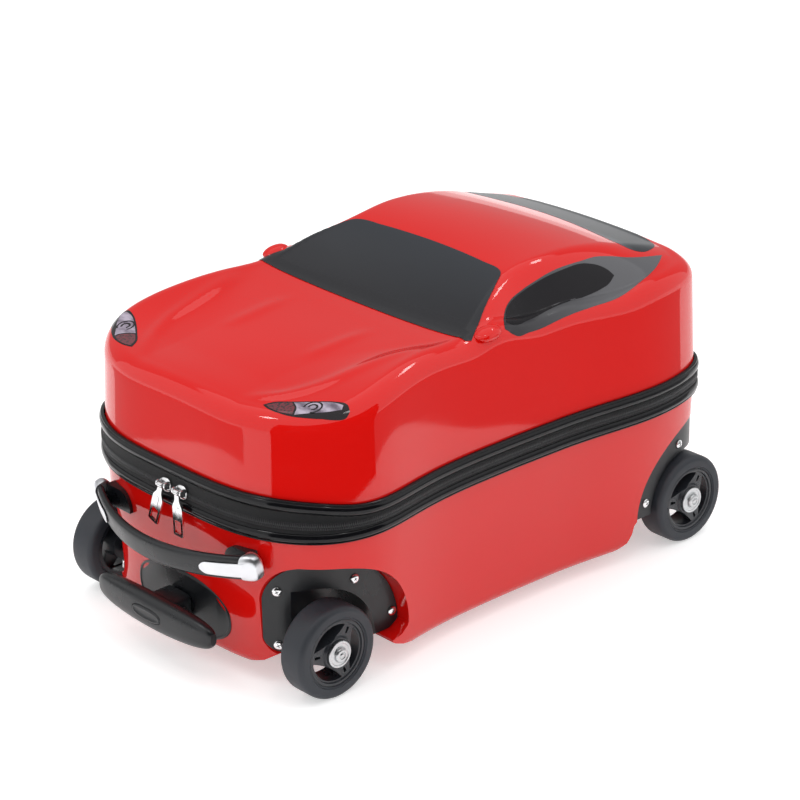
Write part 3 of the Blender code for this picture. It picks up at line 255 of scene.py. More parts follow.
# Zipper sliders and pulls
SLIDER_XS = (-0.0036, 0.0160)
SLIDER_Z = 0.1445
SLIDER_HALF_SIZE = 0.0060
SLIDER_THICKNESS = 0.0030
PULL_LEANS = (math.radians(20.0), 0.0)
PULL_LENGTH = 0.0370
PULL_HALF_WIDTH = 0.0058
PULL_NECK_HALF_WIDTH = 0.0026
PULL_THICKNESS = 0.0016
PULL_SHOULDERS = (-0.0012, -0.0070, -0.0125)
PULL_CORNER = 0.0018
PULL_RIB_HALF_WIDTH = 0.0016
PULL_BARREL_RADII = (0.0021, 0.0024)
PULL_BORE_RADIUS = 0.0012
PULL_BAR_STAND = 0.0060
BAR_HALF_LENGTH = 0.0047
BAR_RADIUS = 0.0009
EAR_XS = (0.0040, 0.0055)

# Carry handle
HANDLE_PIVOT_Y = -0.2335
HANDLE_PIVOT_Z = 0.1072
HANDLE_DROOP = math.radians(11.0)
HANDLE_BOW = 0.0316
HANDLE_HALF_SPAN = 0.100
HANDLE_GRIP_HALF_SPAN = 0.0880
HANDLE_HEIGHT = 0.0205
HANDLE_THICKNESS = 0.0080
CAP_TONGUE_X = 0.0580
CAP_TONGUE_HALF_HEIGHT = 0.0062
CAP_INNER_X = 0.0890
CAP_OUTER_X = 0.1010
CAP_HALF_HEIGHT = 0.0113
CAP_PLATE = 0.0012
CAP_BACK = -0.0045
CAP_ROUNDING = ((0.0, 0.97), (0.25, 1.0), (0.5, 0.98), (0.75, 0.88), (0.92, 0.66), (1.0, 0.40))
CAP_BORE_DEPTH = 0.0100
MOUNT_INNER_X = 0.0590
MOUNT_OUTER_X = 0.0884
MOUNT_FRONT_Y = -0.2354
MOUNT_HALF_HEIGHT = 0.0085
PIN_RADIUS = 0.0026
PIN_REACH = 0.0095

# Trolley handle; the bezel's and the button's edges are drawn as (depth, growth) steps
TROLLEY_Z = 0.044
BEZEL_HALF_LENGTH = 0.0575
BEZEL_HALF_HEIGHT = 0.0265
BEZEL_FACE_Y = -0.2345
BEZEL_SWEEP = 0.0035
BEZEL_STEPS = (
    (0.012, 0.0), (0.0022, 0.0), (0.0012, -0.0002), (0.0005, -0.0007), (0.0001, -0.0013),
    (0.0, -0.0018), (0.0001, -0.0024), (0.0006, -0.0028), (0.0007, -0.0036),
)
TUBE_WALL = 0.0012
TUBE_CLEARANCE = 0.0004
TUBE_POWER = 5.0
OUTER_TUBE_SIZE = (0.0300, 0.0170)
COLLAR_WALL = 0.0030
OPENING_GAP = 0.0006
TUBE_FRONT_Y = -0.2240
GRIP_HALF_LENGTH = 0.0705
GRIP_FRONT_Y = -0.2690
GRIP_DEPTH = 0.0165
GRIP_HALF_HEIGHT = 0.0145
GRIP_SWEEP = 0.0025
NECK_HALF_WIDTH = 0.0150
NECK_HALF_HEIGHT = 0.0100
BUTTON_POWER = 2.6
BUTTON_HALF_LENGTH = 0.0175
BUTTON_HALF_HEIGHT = 0.0055
BUTTON_POCKET_DEPTH = 0.0085
BUTTON_SWEEP = 1.5
BUTTON_STEPS = (
    (0.0040, 0.0), (0.0004, 0.0), (0.0, -0.0002), (-0.0005, -0.0006), (-0.0008, -0.0014),
    (-0.0008, -0.0022), (-0.0004, -0.0026),
)

# Wheels
AXLE_Y = 0.1966
WHEEL_RADIUS = 0.038
WHEEL_WIDTH = 0.026
WHEEL_FACE_X = 0.1447
TYRE_INNER_RADIUS = 0.0275
TYRE_CROWN = (0.0048, 0.0045)
SPOKE_ANGLE = math.radians(54.0)
HUB_RIM_WALL = 0.0030
HUB_BOSS_RADIUS = 0.0127
HUB_SEAT_X = -0.0052
HUB_BORE_RADIUS = 0.0055
HUB_WINDOW_HALF_ANGLE = 49.0
HUB_WINDOW_CORNER = 0.0018
HUB_SLOT = ((0.0163, -0.0009), (0.0216, -0.0013), (0.0216, 0.0013), (0.0163, 0.0009))
BEARING_RADIUS = 0.011
BEARING_WIDTH = 0.007
BEARING_BORE_RADIUS = 0.0043
BEARING_PROUD = 0.0020
BOLT_HEAD_RADIUS = 0.0058
BOLT_SHANK_RADIUS = 0.004
BOLT_REACH = -0.0442
SCREW_SHANK = (-0.0025, 0.0015)
SCREW_HEAD_RADIUS = 0.0037
SCREW_HEAD_DOME = 0.0014
SCREW_SLOT = ((-0.0016, -0.0003), (0.0016, -0.0003), (0.0016, 0.0003), (-0.0016, 0.0003))
SCREW_SLOT_FLOOR = 0.0015

# Studio: floor glow, dome light, painted reflections as (name, centre, radius, turns, heights, brightness)
# and soft boxes as (name, azimuth, elevation, distance, size, brightness). The painted reflections are
# sheets that glow grey or near black, seen only by gloss
FLOOR_GLOW = 0.42
FLOOR_WHITE = 0.86
DOME_LIGHT = 1.06
REFLECTION_SHEETS = (
    ("corner_dark_reflection", (0.085, -0.115), 0.34, (-86.0, 24.0), (0.055, 0.42), 0.02),
    ("side_grey_reflection", (0.10, 0.0), 0.42, (0.0, 76.0), (0.012, 0.17), 0.36),
    ("hood_grey_reflection", (0.0, 0.0), 2.3, (85.0, 200.0), (0.40, 2.6), 0.42),
    ("nose_grey_reflection", (-0.02, -0.24), 0.42, (-175.0, -100.0), (0.012, 0.14), 0.50),
)
SOFT_BOXES = (
    ("nose_box", -115.0, 56.0, 1.7, (0.20, 0.20), 14.0),
    ("corner_box", -20.0, 65.0, 1.7, (0.12, 0.20), 14.0),
    ("fender_box", 84.0, 56.0, 1.7, (0.34, 0.12), 9.0),
)

# Half the floor's width, the point that the soft boxes face, and plain white
FLOOR_SIZE = 6.0
LAMP_AIM = (0.0, 0.0, 0.2)
WHITE = (1.0, 1.0, 1.0, 1.0)

# Widths of the rounded edges that soften() gives
HUB_EDGE = 0.00035
SHELL_EDGE = 0.0008
HOUSING_EDGE = 0.0005
CAP_EDGE = 0.0005
MOUNT_EDGE = 0.0010
GRIP_EDGE = 0.0008
SLIDER_EDGE = 0.0003
PULL_EDGE = 0.0003
SCREW_EDGE = 0.0002

# Names and signs of the case's ends along Y and sides along X; MIRROR_X turns a +X piece into a -X one
ENDS = (("front", -1), ("rear", 1))
SIDES = (("left", 1), ("right", -1))
MIRROR_X = Matrix.Scale(-1.0, 4, (1.0, 0.0, 0.0))


def cubic(t, start, stop, leaving, arriving):
    """Place at t on a soft way from start to stop, with its slopes where it leaves and arrives."""
    first = start * (2 * t**3 - 3 * t**2 + 1) + leaving * (t**3 - 2 * t**2 + t)
    second = stop * (3 * t**2 - 2 * t**3) + arriving * (t**3 - t**2)
    return first + second


def smooth_line(table, y):
    """Value at y of a soft curve through the table's points."""
    ys = np.array([point[0] for point in table])
    values = np.array([point[1] for point in table])
    slopes = np.gradient(values, ys)
    y = np.clip(np.asarray(y, float), ys[0], ys[-1])
    k = np.clip(np.searchsorted(ys, y) - 1, 0, len(ys) - 2)
    step = ys[k + 1] - ys[k]
    return cubic((y - ys[k]) / step, values[k], values[k + 1], slopes[k] * step, slopes[k + 1] * step)


def half_width(y):
    """Half width of the plan at y, wider at the four fenders."""
    width = WAIST_HALF_WIDTH
    for place, bulge, spread in (FRONT_FENDER, REAR_FENDER):
        width = width + bulge * np.exp(-(((y - place) / spread) ** 2))
    return width


def half_plan(lengths, powers, width):
    """Fine half outline from the nose to the tail on the +X side; width gives the half width."""
    angles = np.linspace(-math.pi / 2, math.pi / 2, PLAN_SAMPLES)
    sine = np.sin(angles)
    cosine = np.abs(np.cos(angles))
    length = np.where(sine < 0, lengths[0], lengths[1])
    power = np.where(sine < 0, powers[0], powers[1])
    y = length * np.sign(sine) * np.abs(sine) ** (2 / power)
    x = width(y) * cosine ** (2 / power)
    x[0] = x[-1] = 0.0
    return np.stack([x, y], 1)


def plan_normals(points):
    """Outward unit normals of a half outline that starts and ends on the middle plane."""
    tangent = np.gradient(points, axis=0)
    tangent[0] = (1.0, 0.0)
    tangent[-1] = (-1.0, 0.0)
    normal = np.stack([tangent[:, 1], -tangent[:, 0]], 1)
    return normal / np.linalg.norm(normal, axis=1)[:, None]


BODY_PLAN = half_plan((FRONT_LENGTH, REAR_LENGTH), (FRONT_CORNER_POWER, REAR_CORNER_POWER), half_width)
HOUSING_PLAN = half_plan(HOUSING_LENGTHS, HOUSING_POWERS,
                         lambda y: np.where(y < 0, HOUSING_HALF_WIDTHS[0], HOUSING_HALF_WIDTHS[1]))


def plan_ring(plan, inset, steps, corner_weight=CORNER_WEIGHT):
    """Closed ring of points at this distance inside a plan, closer together where it turns."""
    normals = plan_normals(plan)
    step = np.linalg.norm(np.diff(plan, axis=0), axis=1)
    turn = np.linalg.norm(np.diff(normals, axis=0), axis=1)
    travelled = np.concatenate([[0.0], np.cumsum(step + corner_weight * turn)])
    places = np.interp(np.linspace(0.0, travelled[-1], steps + 1), travelled, np.arange(len(plan)))
    moved_in = plan - normals * inset
    half = np.stack([np.interp(places, np.arange(len(plan)), moved_in[:, k]) for k in (0, 1)], 1)
    half[0, 0] = half[-1, 0] = 0.0
    return np.vstack([half, half[-2:0:-1] * np.array([-1.0, 1.0])])


def body_ring(inset, steps=PLAN_STEPS, corner_weight=CORNER_WEIGHT):
    """Ring of plan points at this distance inside the band's outer face."""
    return plan_ring(BODY_PLAN, inset, steps, corner_weight)


def housing_ring(inset):
    """Ring of the plainer plan that the wheel housings share."""
    return plan_ring(HOUSING_PLAN, inset, HOUSING_STEPS)


def soft_step(value, low, high):
    """0 below low, 1 above high, soft between."""
    t = np.clip((value - low) / (high - low), 0.0, 1.0)
    return t * t * (3 - 2 * t)


def hood_ridges(x, y):
    """Height that the hood's pressed ridges add."""
    total = np.zeros_like(np.asarray(x, float))
    for line, height, half, (start, stop) in HOOD_RIDGES:
        away = (np.abs(x) - smooth_line(line, y)) / half
        fade_in = soft_step(y, *(start + step for step in RIDGE_FADE_IN))
        fade_out = soft_step(y, *(stop + step for step in RIDGE_FADE_OUT))
        total = total + height * fade_in * (1 - fade_out) * np.exp(-(away**2))
    return total


def lid_height(x, y):
    """Height of the lid's top surface over a plan point."""
    centre = smooth_line(CENTRE_LINE, y)
    shoulder = smooth_line(SHOULDER_LINE, y)
    roof = smooth_line(ROOF_HALF_WIDTH, y)
    side = half_width(y) - SHELL_INSET
    fall = soft_step(np.abs(x), roof, side)
    edge = centre + smooth_line(EDGE_RISE, y) * np.clip(np.abs(x) / roof, 0.0, 1.0) ** 2
    return edge + (shoulder - edge) * fall + hood_ridges(x, y)


def lid_drop(x, y, thickness):
    """Vertical depth of a layer of this thickness under the lid's sloping top."""
    step = 0.001
    along_x = (lid_height(x + step, y) - lid_height(x - step, y)) / (2 * step)
    along_y = (lid_height(x, y + step) - lid_height(x, y - step)) / (2 * step)
    return thickness * np.sqrt(1 + along_x**2 + along_y**2)


def mesh_object(name, vertices, faces, material, uvs=None, sharp=SHARP_ANGLE):
    """Smooth-shaded object from points in the drawing frame, with its normals out."""
    mesh = bpy.data.meshes.new(name)
    mesh.from_pydata([tuple(map(float, v)) for v in vertices], [], faces)
    if uvs is not None:
        layer = mesh.uv_layers.new(name="along")
        for loop in mesh.loops:
            layer.data[loop.index].uv = uvs[loop.vertex_index]
    thing = bpy.data.objects.new(name, mesh)
    thing.location = (0.0, SHIFT_Y, 0.0)
    bpy.context.scene.collection.objects.link(thing)
    mesh.materials.append(material)
    finish_mesh(mesh, sharp)
    return thing


def finish_mesh(mesh, sharp=SHARP_ANGLE):
    """Faces out, smooth, with edges sharper than the limit kept crisp."""
    shell = bmesh.new()
    shell.from_mesh(mesh)
    bmesh.ops.recalc_face_normals(shell, faces=shell.faces)
    shell.to_mesh(mesh)
    shell.free()
    mesh.shade_smooth()
    mesh.set_sharp_from_angle(angle=math.radians(sharp))


def ring_faces(levels, count, closed=True, wrap=False):
    """Quads between rings of points; wrap joins the last ring to the first."""
    faces = []
    for level in range(levels if wrap else levels - 1):
        following = (level + 1) % levels
        for k in range(count if closed else count - 1):
            after = (k + 1) % count
            faces.append((level * count + k, level * count + after,
                          following * count + after, following * count + k))
    return faces


def strip_cap(start, count):
    """Faces across a ring that is symmetric about its first and middle points."""
    faces = [(start, start + 1, start + count - 1)]
    for k in range(1, count // 2 - 1):
        faces.append((start + k, start + k + 1, start + count - k - 1, start + count - k))
    middle = count // 2
    faces.append((start + middle - 1, start + middle, start + middle + 1))
    return faces


def loft(name, rings, material, caps="fill", sharp=SHARP_ANGLE):
    """Closed body through rings that have the same number of points."""
    count = len(rings[0])
    vertices = [point for ring in rings for point in ring]
    faces = ring_faces(len(rings), count)
    for start in (0, (len(rings) - 1) * count):
        faces += strip_cap(start, count) if caps == "strip" else [tuple(range(start, start + count))]
    return mesh_object(name, vertices, faces, material, sharp=sharp)


def at_height(ring, z):
    """Plan ring lifted to one height."""
    return [(x, y, z) for x, y in ring]


def prism_x(name, profile, low, high, material):
    """Profile of (y, z) points pulled along X."""
    return loft(name, [[(x, y, z) for y, z in profile] for x in (low, high)], material)


def prism_y(name, profile, low, high, material):
    """Profile of (x, z) points pulled along Y."""
    return loft(name, [[(x, y, z) for x, z in profile] for y in (low, high)], material)


def housing_block(name, inset, heights, material):
    """Upright block with the wheel housings' plan."""
    rings = [at_height(housing_ring(inset), z) for z in heights]
    return loft(name, rings, material, caps="strip")


def arc(centre, radii, turns, steps):
    """Points along an oval arc from one angle to another, in degrees."""
    points = []
    for angle in np.linspace(*turns, steps):
        turn = math.radians(angle)
        points.append((centre[0] + radii[0] * math.cos(turn), centre[1] + radii[1] * math.sin(turn)))
    return points


def oval(half_long, half_short, steps, power=2.0):
    """Points of a rounded oval."""
    points = []
    for k in range(steps):
        angle = 2 * math.pi * k / steps
        c = math.cos(angle)
        s = math.sin(angle)
        points.append((half_long * math.copysign(abs(c) ** (2 / power), c),
                       half_short * math.copysign(abs(s) ** (2 / power), s)))
    return points


def turned(name, profile, steps, material, sharp=SHARP_ANGLE):
    """Body turned about X from a closed loop of (x, radius) points; radius 0 ends it on the axis."""
    solid = profile[0][1] == 0.0
    angles = [2 * math.pi * k / steps for k in range(steps)]
    rings = []
    for x, radius in (profile[1:-1] if solid else profile):
        rings.append([(x, radius * math.cos(angle), radius * math.sin(angle)) for angle in angles])
    if solid:
        return loft(name, rings, material, sharp=sharp)
    vertices = [point for ring in rings for point in ring]
    return mesh_object(name, vertices, ring_faces(len(rings), steps, wrap=True), material, sharp=sharp)


def rod(name, low, high, radius, steps, material):
    """Round bar along X."""
    return turned(name, ((0, 0), (low, radius), (high, radius), (0, 0)), steps, material)


def rounded(profile, radius, steps=5):
    """Closed profile with each corner replaced by a soft arc of about this radius."""
    points = [np.array(p, float) for p in profile]
    result = []
    for k, corner in enumerate(points):
        before = points[k - 1] - corner
        after = points[(k + 1) % len(points)] - corner
        reach = min(radius, 0.45 * np.linalg.norm(before), 0.45 * np.linalg.norm(after))
        start = corner + before / np.linalg.norm(before) * reach
        stop = corner + after / np.linalg.norm(after) * reach
        for t in np.linspace(0.0, 1.0, steps):
            result.append(tuple((1 - t) ** 2 * start + 2 * t * (1 - t) * corner + t**2 * stop))
    return result


def boolean(target, tool, operation="DIFFERENCE"):
    """Boolean of two objects kept in the first; the second is removed."""
    modifier = target.modifiers.new("cut", "BOOLEAN")
    modifier.operation = operation
    modifier.solver = "EXACT"
    modifier.material_mode = "TRANSFER"
    modifier.object = tool
    bpy.context.view_layer.update()
    mesh = bpy.data.meshes.new_from_object(target.evaluated_get(bpy.context.evaluated_depsgraph_get()))
    target.modifiers.clear()
    target.data = mesh
    bpy.data.objects.remove(tool)
    shell = bmesh.new()
    shell.from_mesh(mesh)
    bmesh.ops.remove_doubles(shell, verts=shell.verts, dist=WELD_DISTANCE)
    shell.to_mesh(mesh)
    shell.free()
    finish_mesh(mesh)
    return target


def soften(thing, width, segments=2):
    """Small rounding on every crisp edge of an object, kept as a modifier."""
    weld = thing.modifiers.new("weld", "WELD")
    weld.merge_threshold = WELD_DISTANCE / 2
    bevel = thing.modifiers.new("rounding", "BEVEL")
    bevel.width = width
    bevel.segments = segments
    bevel.limit_method = "ANGLE"
    bevel.angle_limit = math.radians(SOFTEN_ANGLE)
    bevel.harden_normals = True
    return thing


def moved(thing, matrix):
    """Move a mesh within the drawing frame."""
    thing.data.transform(matrix)
    if matrix.determinant() < 0:
        thing.data.flip_normals()
    return thing


def shifted(thing, x, y, z):
    """Move a mesh by this much within the drawing frame."""
    return moved(thing, Matrix.Translation((x, y, z)))


def copy_of(thing, name, matrix):
    """Copy of an object's mesh, moved within the drawing frame."""
    copy = bpy.data.objects.new(name, thing.data.copy())
    copy.location = thing.location
    bpy.context.scene.collection.objects.link(copy)
    for old in thing.modifiers:
        new = copy.modifiers.new(old.name, old.type)
        for key in ("merge_threshold", "width", "segments", "limit_method", "angle_limit", "harden_normals"):
            if hasattr(old, key):
                setattr(new, key, getattr(old, key))
    return moved(copy, matrix)


def attach(thing, body, slot, *nodes):
    """Let a piece move with its body and stand for its CAD nodes."""
    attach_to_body(thing, body)
    if nodes:
        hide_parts(*nodes)
    return thing


class Look:
    """A Principled material with short calls for the textures that feed it."""

    def __init__(self, name, colour, roughness, metallic=0.0, coat=0.0, coat_roughness=0.03, specular=0.5):
        self.material = bpy.data.materials.new(name)
        self.material.use_nodes = True
        self.tree = self.material.node_tree
        self.shader = self.tree.nodes["Principled BSDF"]
        self.colour = colour
        self.set("Base Color", (*colour, 1.0))
        self.set("Roughness", roughness)
        self.set("Metallic", metallic)
        self.set("Coat Weight", coat)
        self.set("Coat Roughness", coat_roughness)
        self.set("Specular IOR Level", specular)
        self.height = None

    def set(self, socket, value):
        self.shader.inputs[socket].default_value = value

    def plug(self, socket, value):
        """Link another node's socket, or set a plain value."""
        if isinstance(value, bpy.types.NodeSocket):
            self.tree.links.new(value, socket)
        else:
            socket.default_value = value

    def node(self, kind, inputs=(), **settings):
        """New node with its settings, and inputs given as values or as other nodes' sockets."""
        made = self.tree.nodes.new("ShaderNode" + kind)
        for key, value in settings.items():
            setattr(made, key, value)
        for socket, value in dict(inputs).items():
            self.plug(made.inputs[socket], value)
        return made

    def place(self, stretch=(1.0, 1.0, 1.0), use="Object"):
        """Coordinates on the piece, stretched along the axes."""
        coordinates = self.node("TexCoord").outputs[use]
        return self.node("Mapping", {"Vector": coordinates, "Scale": stretch}).outputs[0]

    def noise(self, scale, detail, stretch=(1.0, 1.0, 1.0), roughness=0.5):
        """Noise of this many waves to the metre, from 0 to 1."""
        return self.node("TexNoise", {"Vector": self.place(stretch), "Scale": scale, "Detail": detail,
                                      "Roughness": roughness}).outputs["Fac"]

    def wave(self, scale, direction, use="Object", stretch=(1.0, 1.0, 1.0)):
        """Even bands across one axis."""
        return self.node("TexWave", {"Vector": self.place(stretch, use), "Scale": scale},
                         bands_direction=direction).outputs["Fac"]

    def span(self, value, low, high, to_low=0.0, to_high=1.0):
        """Value between low and high stretched to a new span, and kept inside it."""
        return self.node("MapRange", {"Value": value, "From Min": low, "From Max": high, "To Min": to_low,
                                      "To Max": to_high}).outputs[0]

    def math(self, operation, first, second):
        """One arithmetic step."""
        return self.node("Math", {0: first, 1: second}, operation=operation).outputs[0]

    def mix(self, factor, first, second):
        """Colour between two colours."""
        made = self.node("Mix", data_type="RGBA")
        sockets = {socket.identifier: socket for socket in made.inputs}
        self.plug(sockets["Factor_Float"], factor)
        self.plug(sockets["A_Color"], (*first, 1.0))
        self.plug(sockets["B_Color"], (*second, 1.0))
        return next(s for s in made.outputs if s.identifier == "Result_Color")

    def feed(self, socket, value):
        """Link a value into one of the shader's sockets."""
        self.tree.links.new(value, self.shader.inputs[socket])
        return self

    def vary_colour(self, value, low=0.9, high=1.1):
        """Colour a little darker and lighter over the surface."""
        dark = [part * low for part in self.colour]
        light = [min(1.0, part * high) for part in self.colour]
        return self.feed("Base Color", self.mix(value, dark, light))

    def vary_roughness(self, value, low, high, start=0.3, stop=0.7):
        """Roughness that runs between two values while this one runs from start to stop."""
        return self.feed("Roughness", self.span(value, start, stop, low, high))

    def fade_colour(self, value, start, stop, dark, light):
        """Colour that runs between two colours while this value runs from start to stop."""
        return self.feed("Base Color", self.mix(self.span(value, start, stop), dark, light))

    def bump(self, value, depth, strength=1.0):
        """Relief of this depth in metres, on top of any relief before it."""
        made = self.node("Bump", {"Height": value, "Distance": depth, "Strength": strength})
        if self.height is not None:
            self.tree.links.new(self.height, made.inputs["Normal"])
        self.height = made.outputs[0]
        return self.feed("Normal", self.height)


def shell_look():
    """Glossy red moulded plastic with a faint orange peel, soft tint changes and hairline scuffs."""
    look = Look("red_gloss", (0.670, 0.0058, 0.0040), 0.06, specular=0.5)
    look.vary_colour(look.noise(9.0, 2.0), 0.955, 1.045)
    scuffs = look.noise(60.0, 4.0, (1.0, 0.12, 1.0))
    look.vary_roughness(scuffs, 0.05, 0.13, 0.55, 0.80)
    look.bump(look.noise(320.0, 1.0), 0.00002, 0.35)
    look.bump(look.noise(14.0, 1.0), 0.0006, 0.16)
    return look.material


def lining_look():
    """Dark woven lining glued to the inside of both shells."""
    look = Look("lining_cloth", (0.030, 0.031, 0.034), 0.85)
    weave = look.math("MULTIPLY", look.wave(260.0, "X"), look.wave(260.0, "Y"))
    quilt = look.math("MAXIMUM", look.wave(5.2, "DIAGONAL"),
                      look.wave(5.2, "DIAGONAL", stretch=(-1.0, 1.0, 1.0)))
    look.vary_colour(weave, 0.6, 1.5)
    look.bump(quilt, 0.0012, 0.5)
    look.bump(weave, 0.0002, 0.6)
    look.set("Sheen Weight", 0.3)
    return look.material


def piping_look():
    """Glossy black extruded piping with a slightly wavy skin."""
    look = Look("piping_gloss", (0.004, 0.004, 0.005), 0.07, specular=0.30)
    look.vary_colour(look.noise(60.0, 2.0), 0.8, 1.5)
    look.vary_roughness(look.noise(240.0, 3.0), 0.06, 0.14)
    look.bump(look.noise(60.0, 2.0), 0.0004, 0.25)
    return look.material


def tape_look():
    """Woven zipper tape: fine ribs along it, crossed by finer threads."""
    look = Look("zipper_weave", (0.011, 0.011, 0.012), 0.78, specular=0.3)
    ribs = look.wave(480.0, "Y", "UV")
    threads = look.wave(620.0, "X", "UV")
    weave = look.math("MULTIPLY", ribs, threads)
    look.vary_colour(weave, 0.55, 2.2)
    look.vary_roughness(weave, 0.88, 0.66, 0.0, 1.0)
    look.bump(weave, 0.00025, 0.8)
    look.set("Sheen Weight", 0.1)
    return look.material


def teeth_look():
    """Black nylon of the zipper coil."""
    look = Look("coil_nylon", (0.022, 0.022, 0.024), 0.32)
    look.vary_colour(look.noise(900.0, 2.0), 0.7, 1.6)
    look.vary_roughness(look.noise(500.0, 2.0), 0.26, 0.44)
    return look.material


def plastic_look(name, colour, roughness, grain=1500.0):
    """Moulded black plastic: fine spark-eroded grain, faint handling marks and rubbed patches."""
    look = Look(name, colour, roughness)
    marks = look.noise(38.0, 5.0)
    look.vary_colour(marks, 0.75, 1.35)
    look.vary_roughness(look.noise(24.0, 6.0), roughness - 0.06, roughness + 0.08, 0.35, 0.65)
    look.bump(look.noise(grain, 2.0), 0.00003, 0.5)
    return look.material


def tyre_look():
    """Black tyre rubber with fine turning lines round the tread and a dusting of wear."""
    look = Look("tyre_black", (0.022, 0.025, 0.032), 0.44)
    dust = look.noise(55.0, 6.0, roughness=0.65)
    look.vary_colour(dust, 0.75, 1.6)
    look.vary_roughness(dust, 0.46, 0.64)
    look.bump(look.wave(420.0, "X"), 0.00006, 0.35)
    look.bump(look.noise(1300.0, 2.0), 0.00004, 0.5)
    return look.material


def metal_look(name, colour, low, high, stretch=(1.0, 1.0, 1.0), scale=220.0, depth=0.00002):
    """Metal with smudges, and a brushed direction if the noise is stretched."""
    look = Look(name, colour, low, metallic=1.0)
    brushed = look.noise(scale, 4.0, stretch)
    look.vary_roughness(brushed, low, high, 0.25, 0.75)
    look.vary_colour(look.noise(70.0, 3.0), 0.9, 1.06)
    look.bump(brushed, depth, 0.4)
    return look.material


def glass_print_look(name, dark, light, low_y, high_y, gloss=0.10, specular=0.3):
    """Dark printed window under the shell's gloss, fading softly from one end to the other."""
    look = Look(name, dark, gloss, specular=specular)
    place = look.node("SeparateXYZ", {"Vector": look.place()}).outputs["Y"]
    drift = look.math("MULTIPLY", look.noise(12.0, 2.0), 0.02)
    look.fade_colour(look.math("ADD", place, drift), low_y, high_y, dark, light)
    look.bump(look.noise(320.0, 1.0), 0.00002, 0.3)
    return look.material


def lamp_grille_look():
    """Maroon grille print: a net of small dark cells."""
    look = Look("lamp_grille", (0.070, 0.008, 0.014), 0.14, coat=0.5, coat_roughness=0.02)
    cells = look.node("TexVoronoi", {"Vector": look.place(), "Scale": 420.0}).outputs["Distance"]
    look.fade_colour(cells, 0.25, 0.55, (0.020, 0.004, 0.007), (0.150, 0.012, 0.024))
    return look.material


def lamp_lens_look():
    """Lavender-grey lens print with curved facets."""
    look = Look("lamp_lens", (0.30, 0.27, 0.33), 0.12, specular=0.4)
    facets = look.noise(70.0, 3.0, (1.0, 2.2, 1.0))
    look.fade_colour(facets, 0.35, 0.62, (0.13, 0.10, 0.14), (0.46, 0.40, 0.49))
    return look.material


RED = shell_look()
LINING = lining_look()
PIPING = piping_look()
TAPE = tape_look()
TEETH = teeth_look()
BLACK = plastic_look("satin_black", (0.007, 0.008, 0.010), 0.31)
HUB_BLACK = plastic_look("hub_black", (0.020, 0.022, 0.027), 0.30, 1100.0)
RUBBER = tyre_look()
CHROME = metal_look("chrome", (0.86, 0.86, 0.87), 0.08, 0.24)
SATIN_CHROME = metal_look("satin_chrome", (0.80, 0.81, 0.84), 0.30, 0.38, (0.2, 1.0, 1.0), 90.0, 0.000003)
STEEL = metal_look("turned_steel", (0.60, 0.61, 0.62), 0.22, 0.40)
ALUMINIUM = metal_look("drawn_aluminium", (0.66, 0.67, 0.68), 0.26, 0.42, (1.0, 0.03, 1.0), 900.0)
SCREEN = glass_print_look("screen_print", (0.016, 0.016, 0.019), (0.026, 0.030, 0.037), -0.02, 0.05,
                          gloss=0.24)
SIDE_RIM = glass_print_look("side_print", (0.028, 0.027, 0.031), (0.110, 0.110, 0.118), 0.02, 0.12)
SIDE_DARK = glass_print_look("side_glass", (0.007, 0.006, 0.008), (0.010, 0.009, 0.011), 0.0, 0.15,
                             gloss=0.12, specular=0.2)
REAR_PRINT = glass_print_look("rear_print", (0.085, 0.100, 0.120), (0.030, 0.034, 0.040), 0.165, 0.185,
                              gloss=0.3, specular=0.15)
LAMP_EDGE = glass_print_look("lamp_edge", (0.010, 0.008, 0.010), (0.014, 0.010, 0.012), -0.2, -0.17)
LAMP_GRILLE_LOOK = lamp_grille_look()
LAMP_LENS_LOOK = lamp_lens_look()


def lid_rings(depth):
    """Rings of the lid's skin at this depth inside its outer face, from its edge to its crown."""
    wall = SHELL_INSET + LID_DRAFT + depth
    radius = LID_EDGE_RADIUS - depth
    crest = body_ring(wall + radius)
    crest_height = lid_height(crest[:, 0], crest[:, 1]) - lid_drop(crest[:, 0], crest[:, 1], depth)
    foot = SPLIT_Z + SHELL_EDGE_GAP
    wall_top = crest_height - radius
    border = LID_CROWN_INSET + depth
    rings = []
    for share in np.linspace(0.0, 1.0, LID_WALL_LEVELS):
        ring = body_ring(SHELL_INSET + depth + LID_DRAFT * share)
        rings.append(np.column_stack([ring, foot + (wall_top - foot) * share]))
    for turn in np.linspace(0.0, math.pi / 2, LID_ARC_LEVELS)[1:]:
        ring = body_ring(wall + radius * (1 - math.cos(turn)))
        rings.append(np.column_stack([ring, crest_height - radius * (1 - math.sin(turn))]))
    for inset in np.linspace(wall + radius, border, LID_BORDER_LEVELS)[1:]:
        rings.append(on_lid(body_ring(inset), depth))
    last = body_ring(border)
    for share in np.linspace(1.0, LID_CROWN_LAST, LID_CROWN_LEVELS)[1:]:
        rings.append(on_lid(last * np.array([share, 1 - LID_CROWN_SQUASH * (1 - share)]), depth))
    return rings


def on_lid(ring, depth):
    """Plan ring laid on the lid's top, at this depth under its surface."""
    x = ring[:, 0]
    y = ring[:, 1]
    return np.column_stack([ring, lid_height(x, y) - lid_drop(x, y, depth)])


def make_lid():
    """Upper shell as a fine closed skin, red outside and lined inside."""
    outer = lid_rings(0.0)
    rings = outer[::-1] + lid_rings(SHELL_THICKNESS)
    count = len(outer[0])
    faces = ring_faces(len(rings), count)
    faces += strip_cap(0, count)
    faces += strip_cap((len(rings) - 1) * count, count)
    lid = mesh_object("lid_skin", np.vstack(rings), faces, RED, sharp=50.0)
    lid.data.materials.append(LINING)
    first_inner = len(outer) * count
    for face in lid.data.polygons:
        if min(face.vertices) >= first_inner:
            face.material_index = 1
    return attach(lid, "lid", "red_shell", "lid_shell")


LID = make_lid()
LID_TREE = BVHTree.FromPolygons([v.co.copy() for v in LID.data.vertices],
                                [tuple(p.vertices) for p in LID.data.polygons])


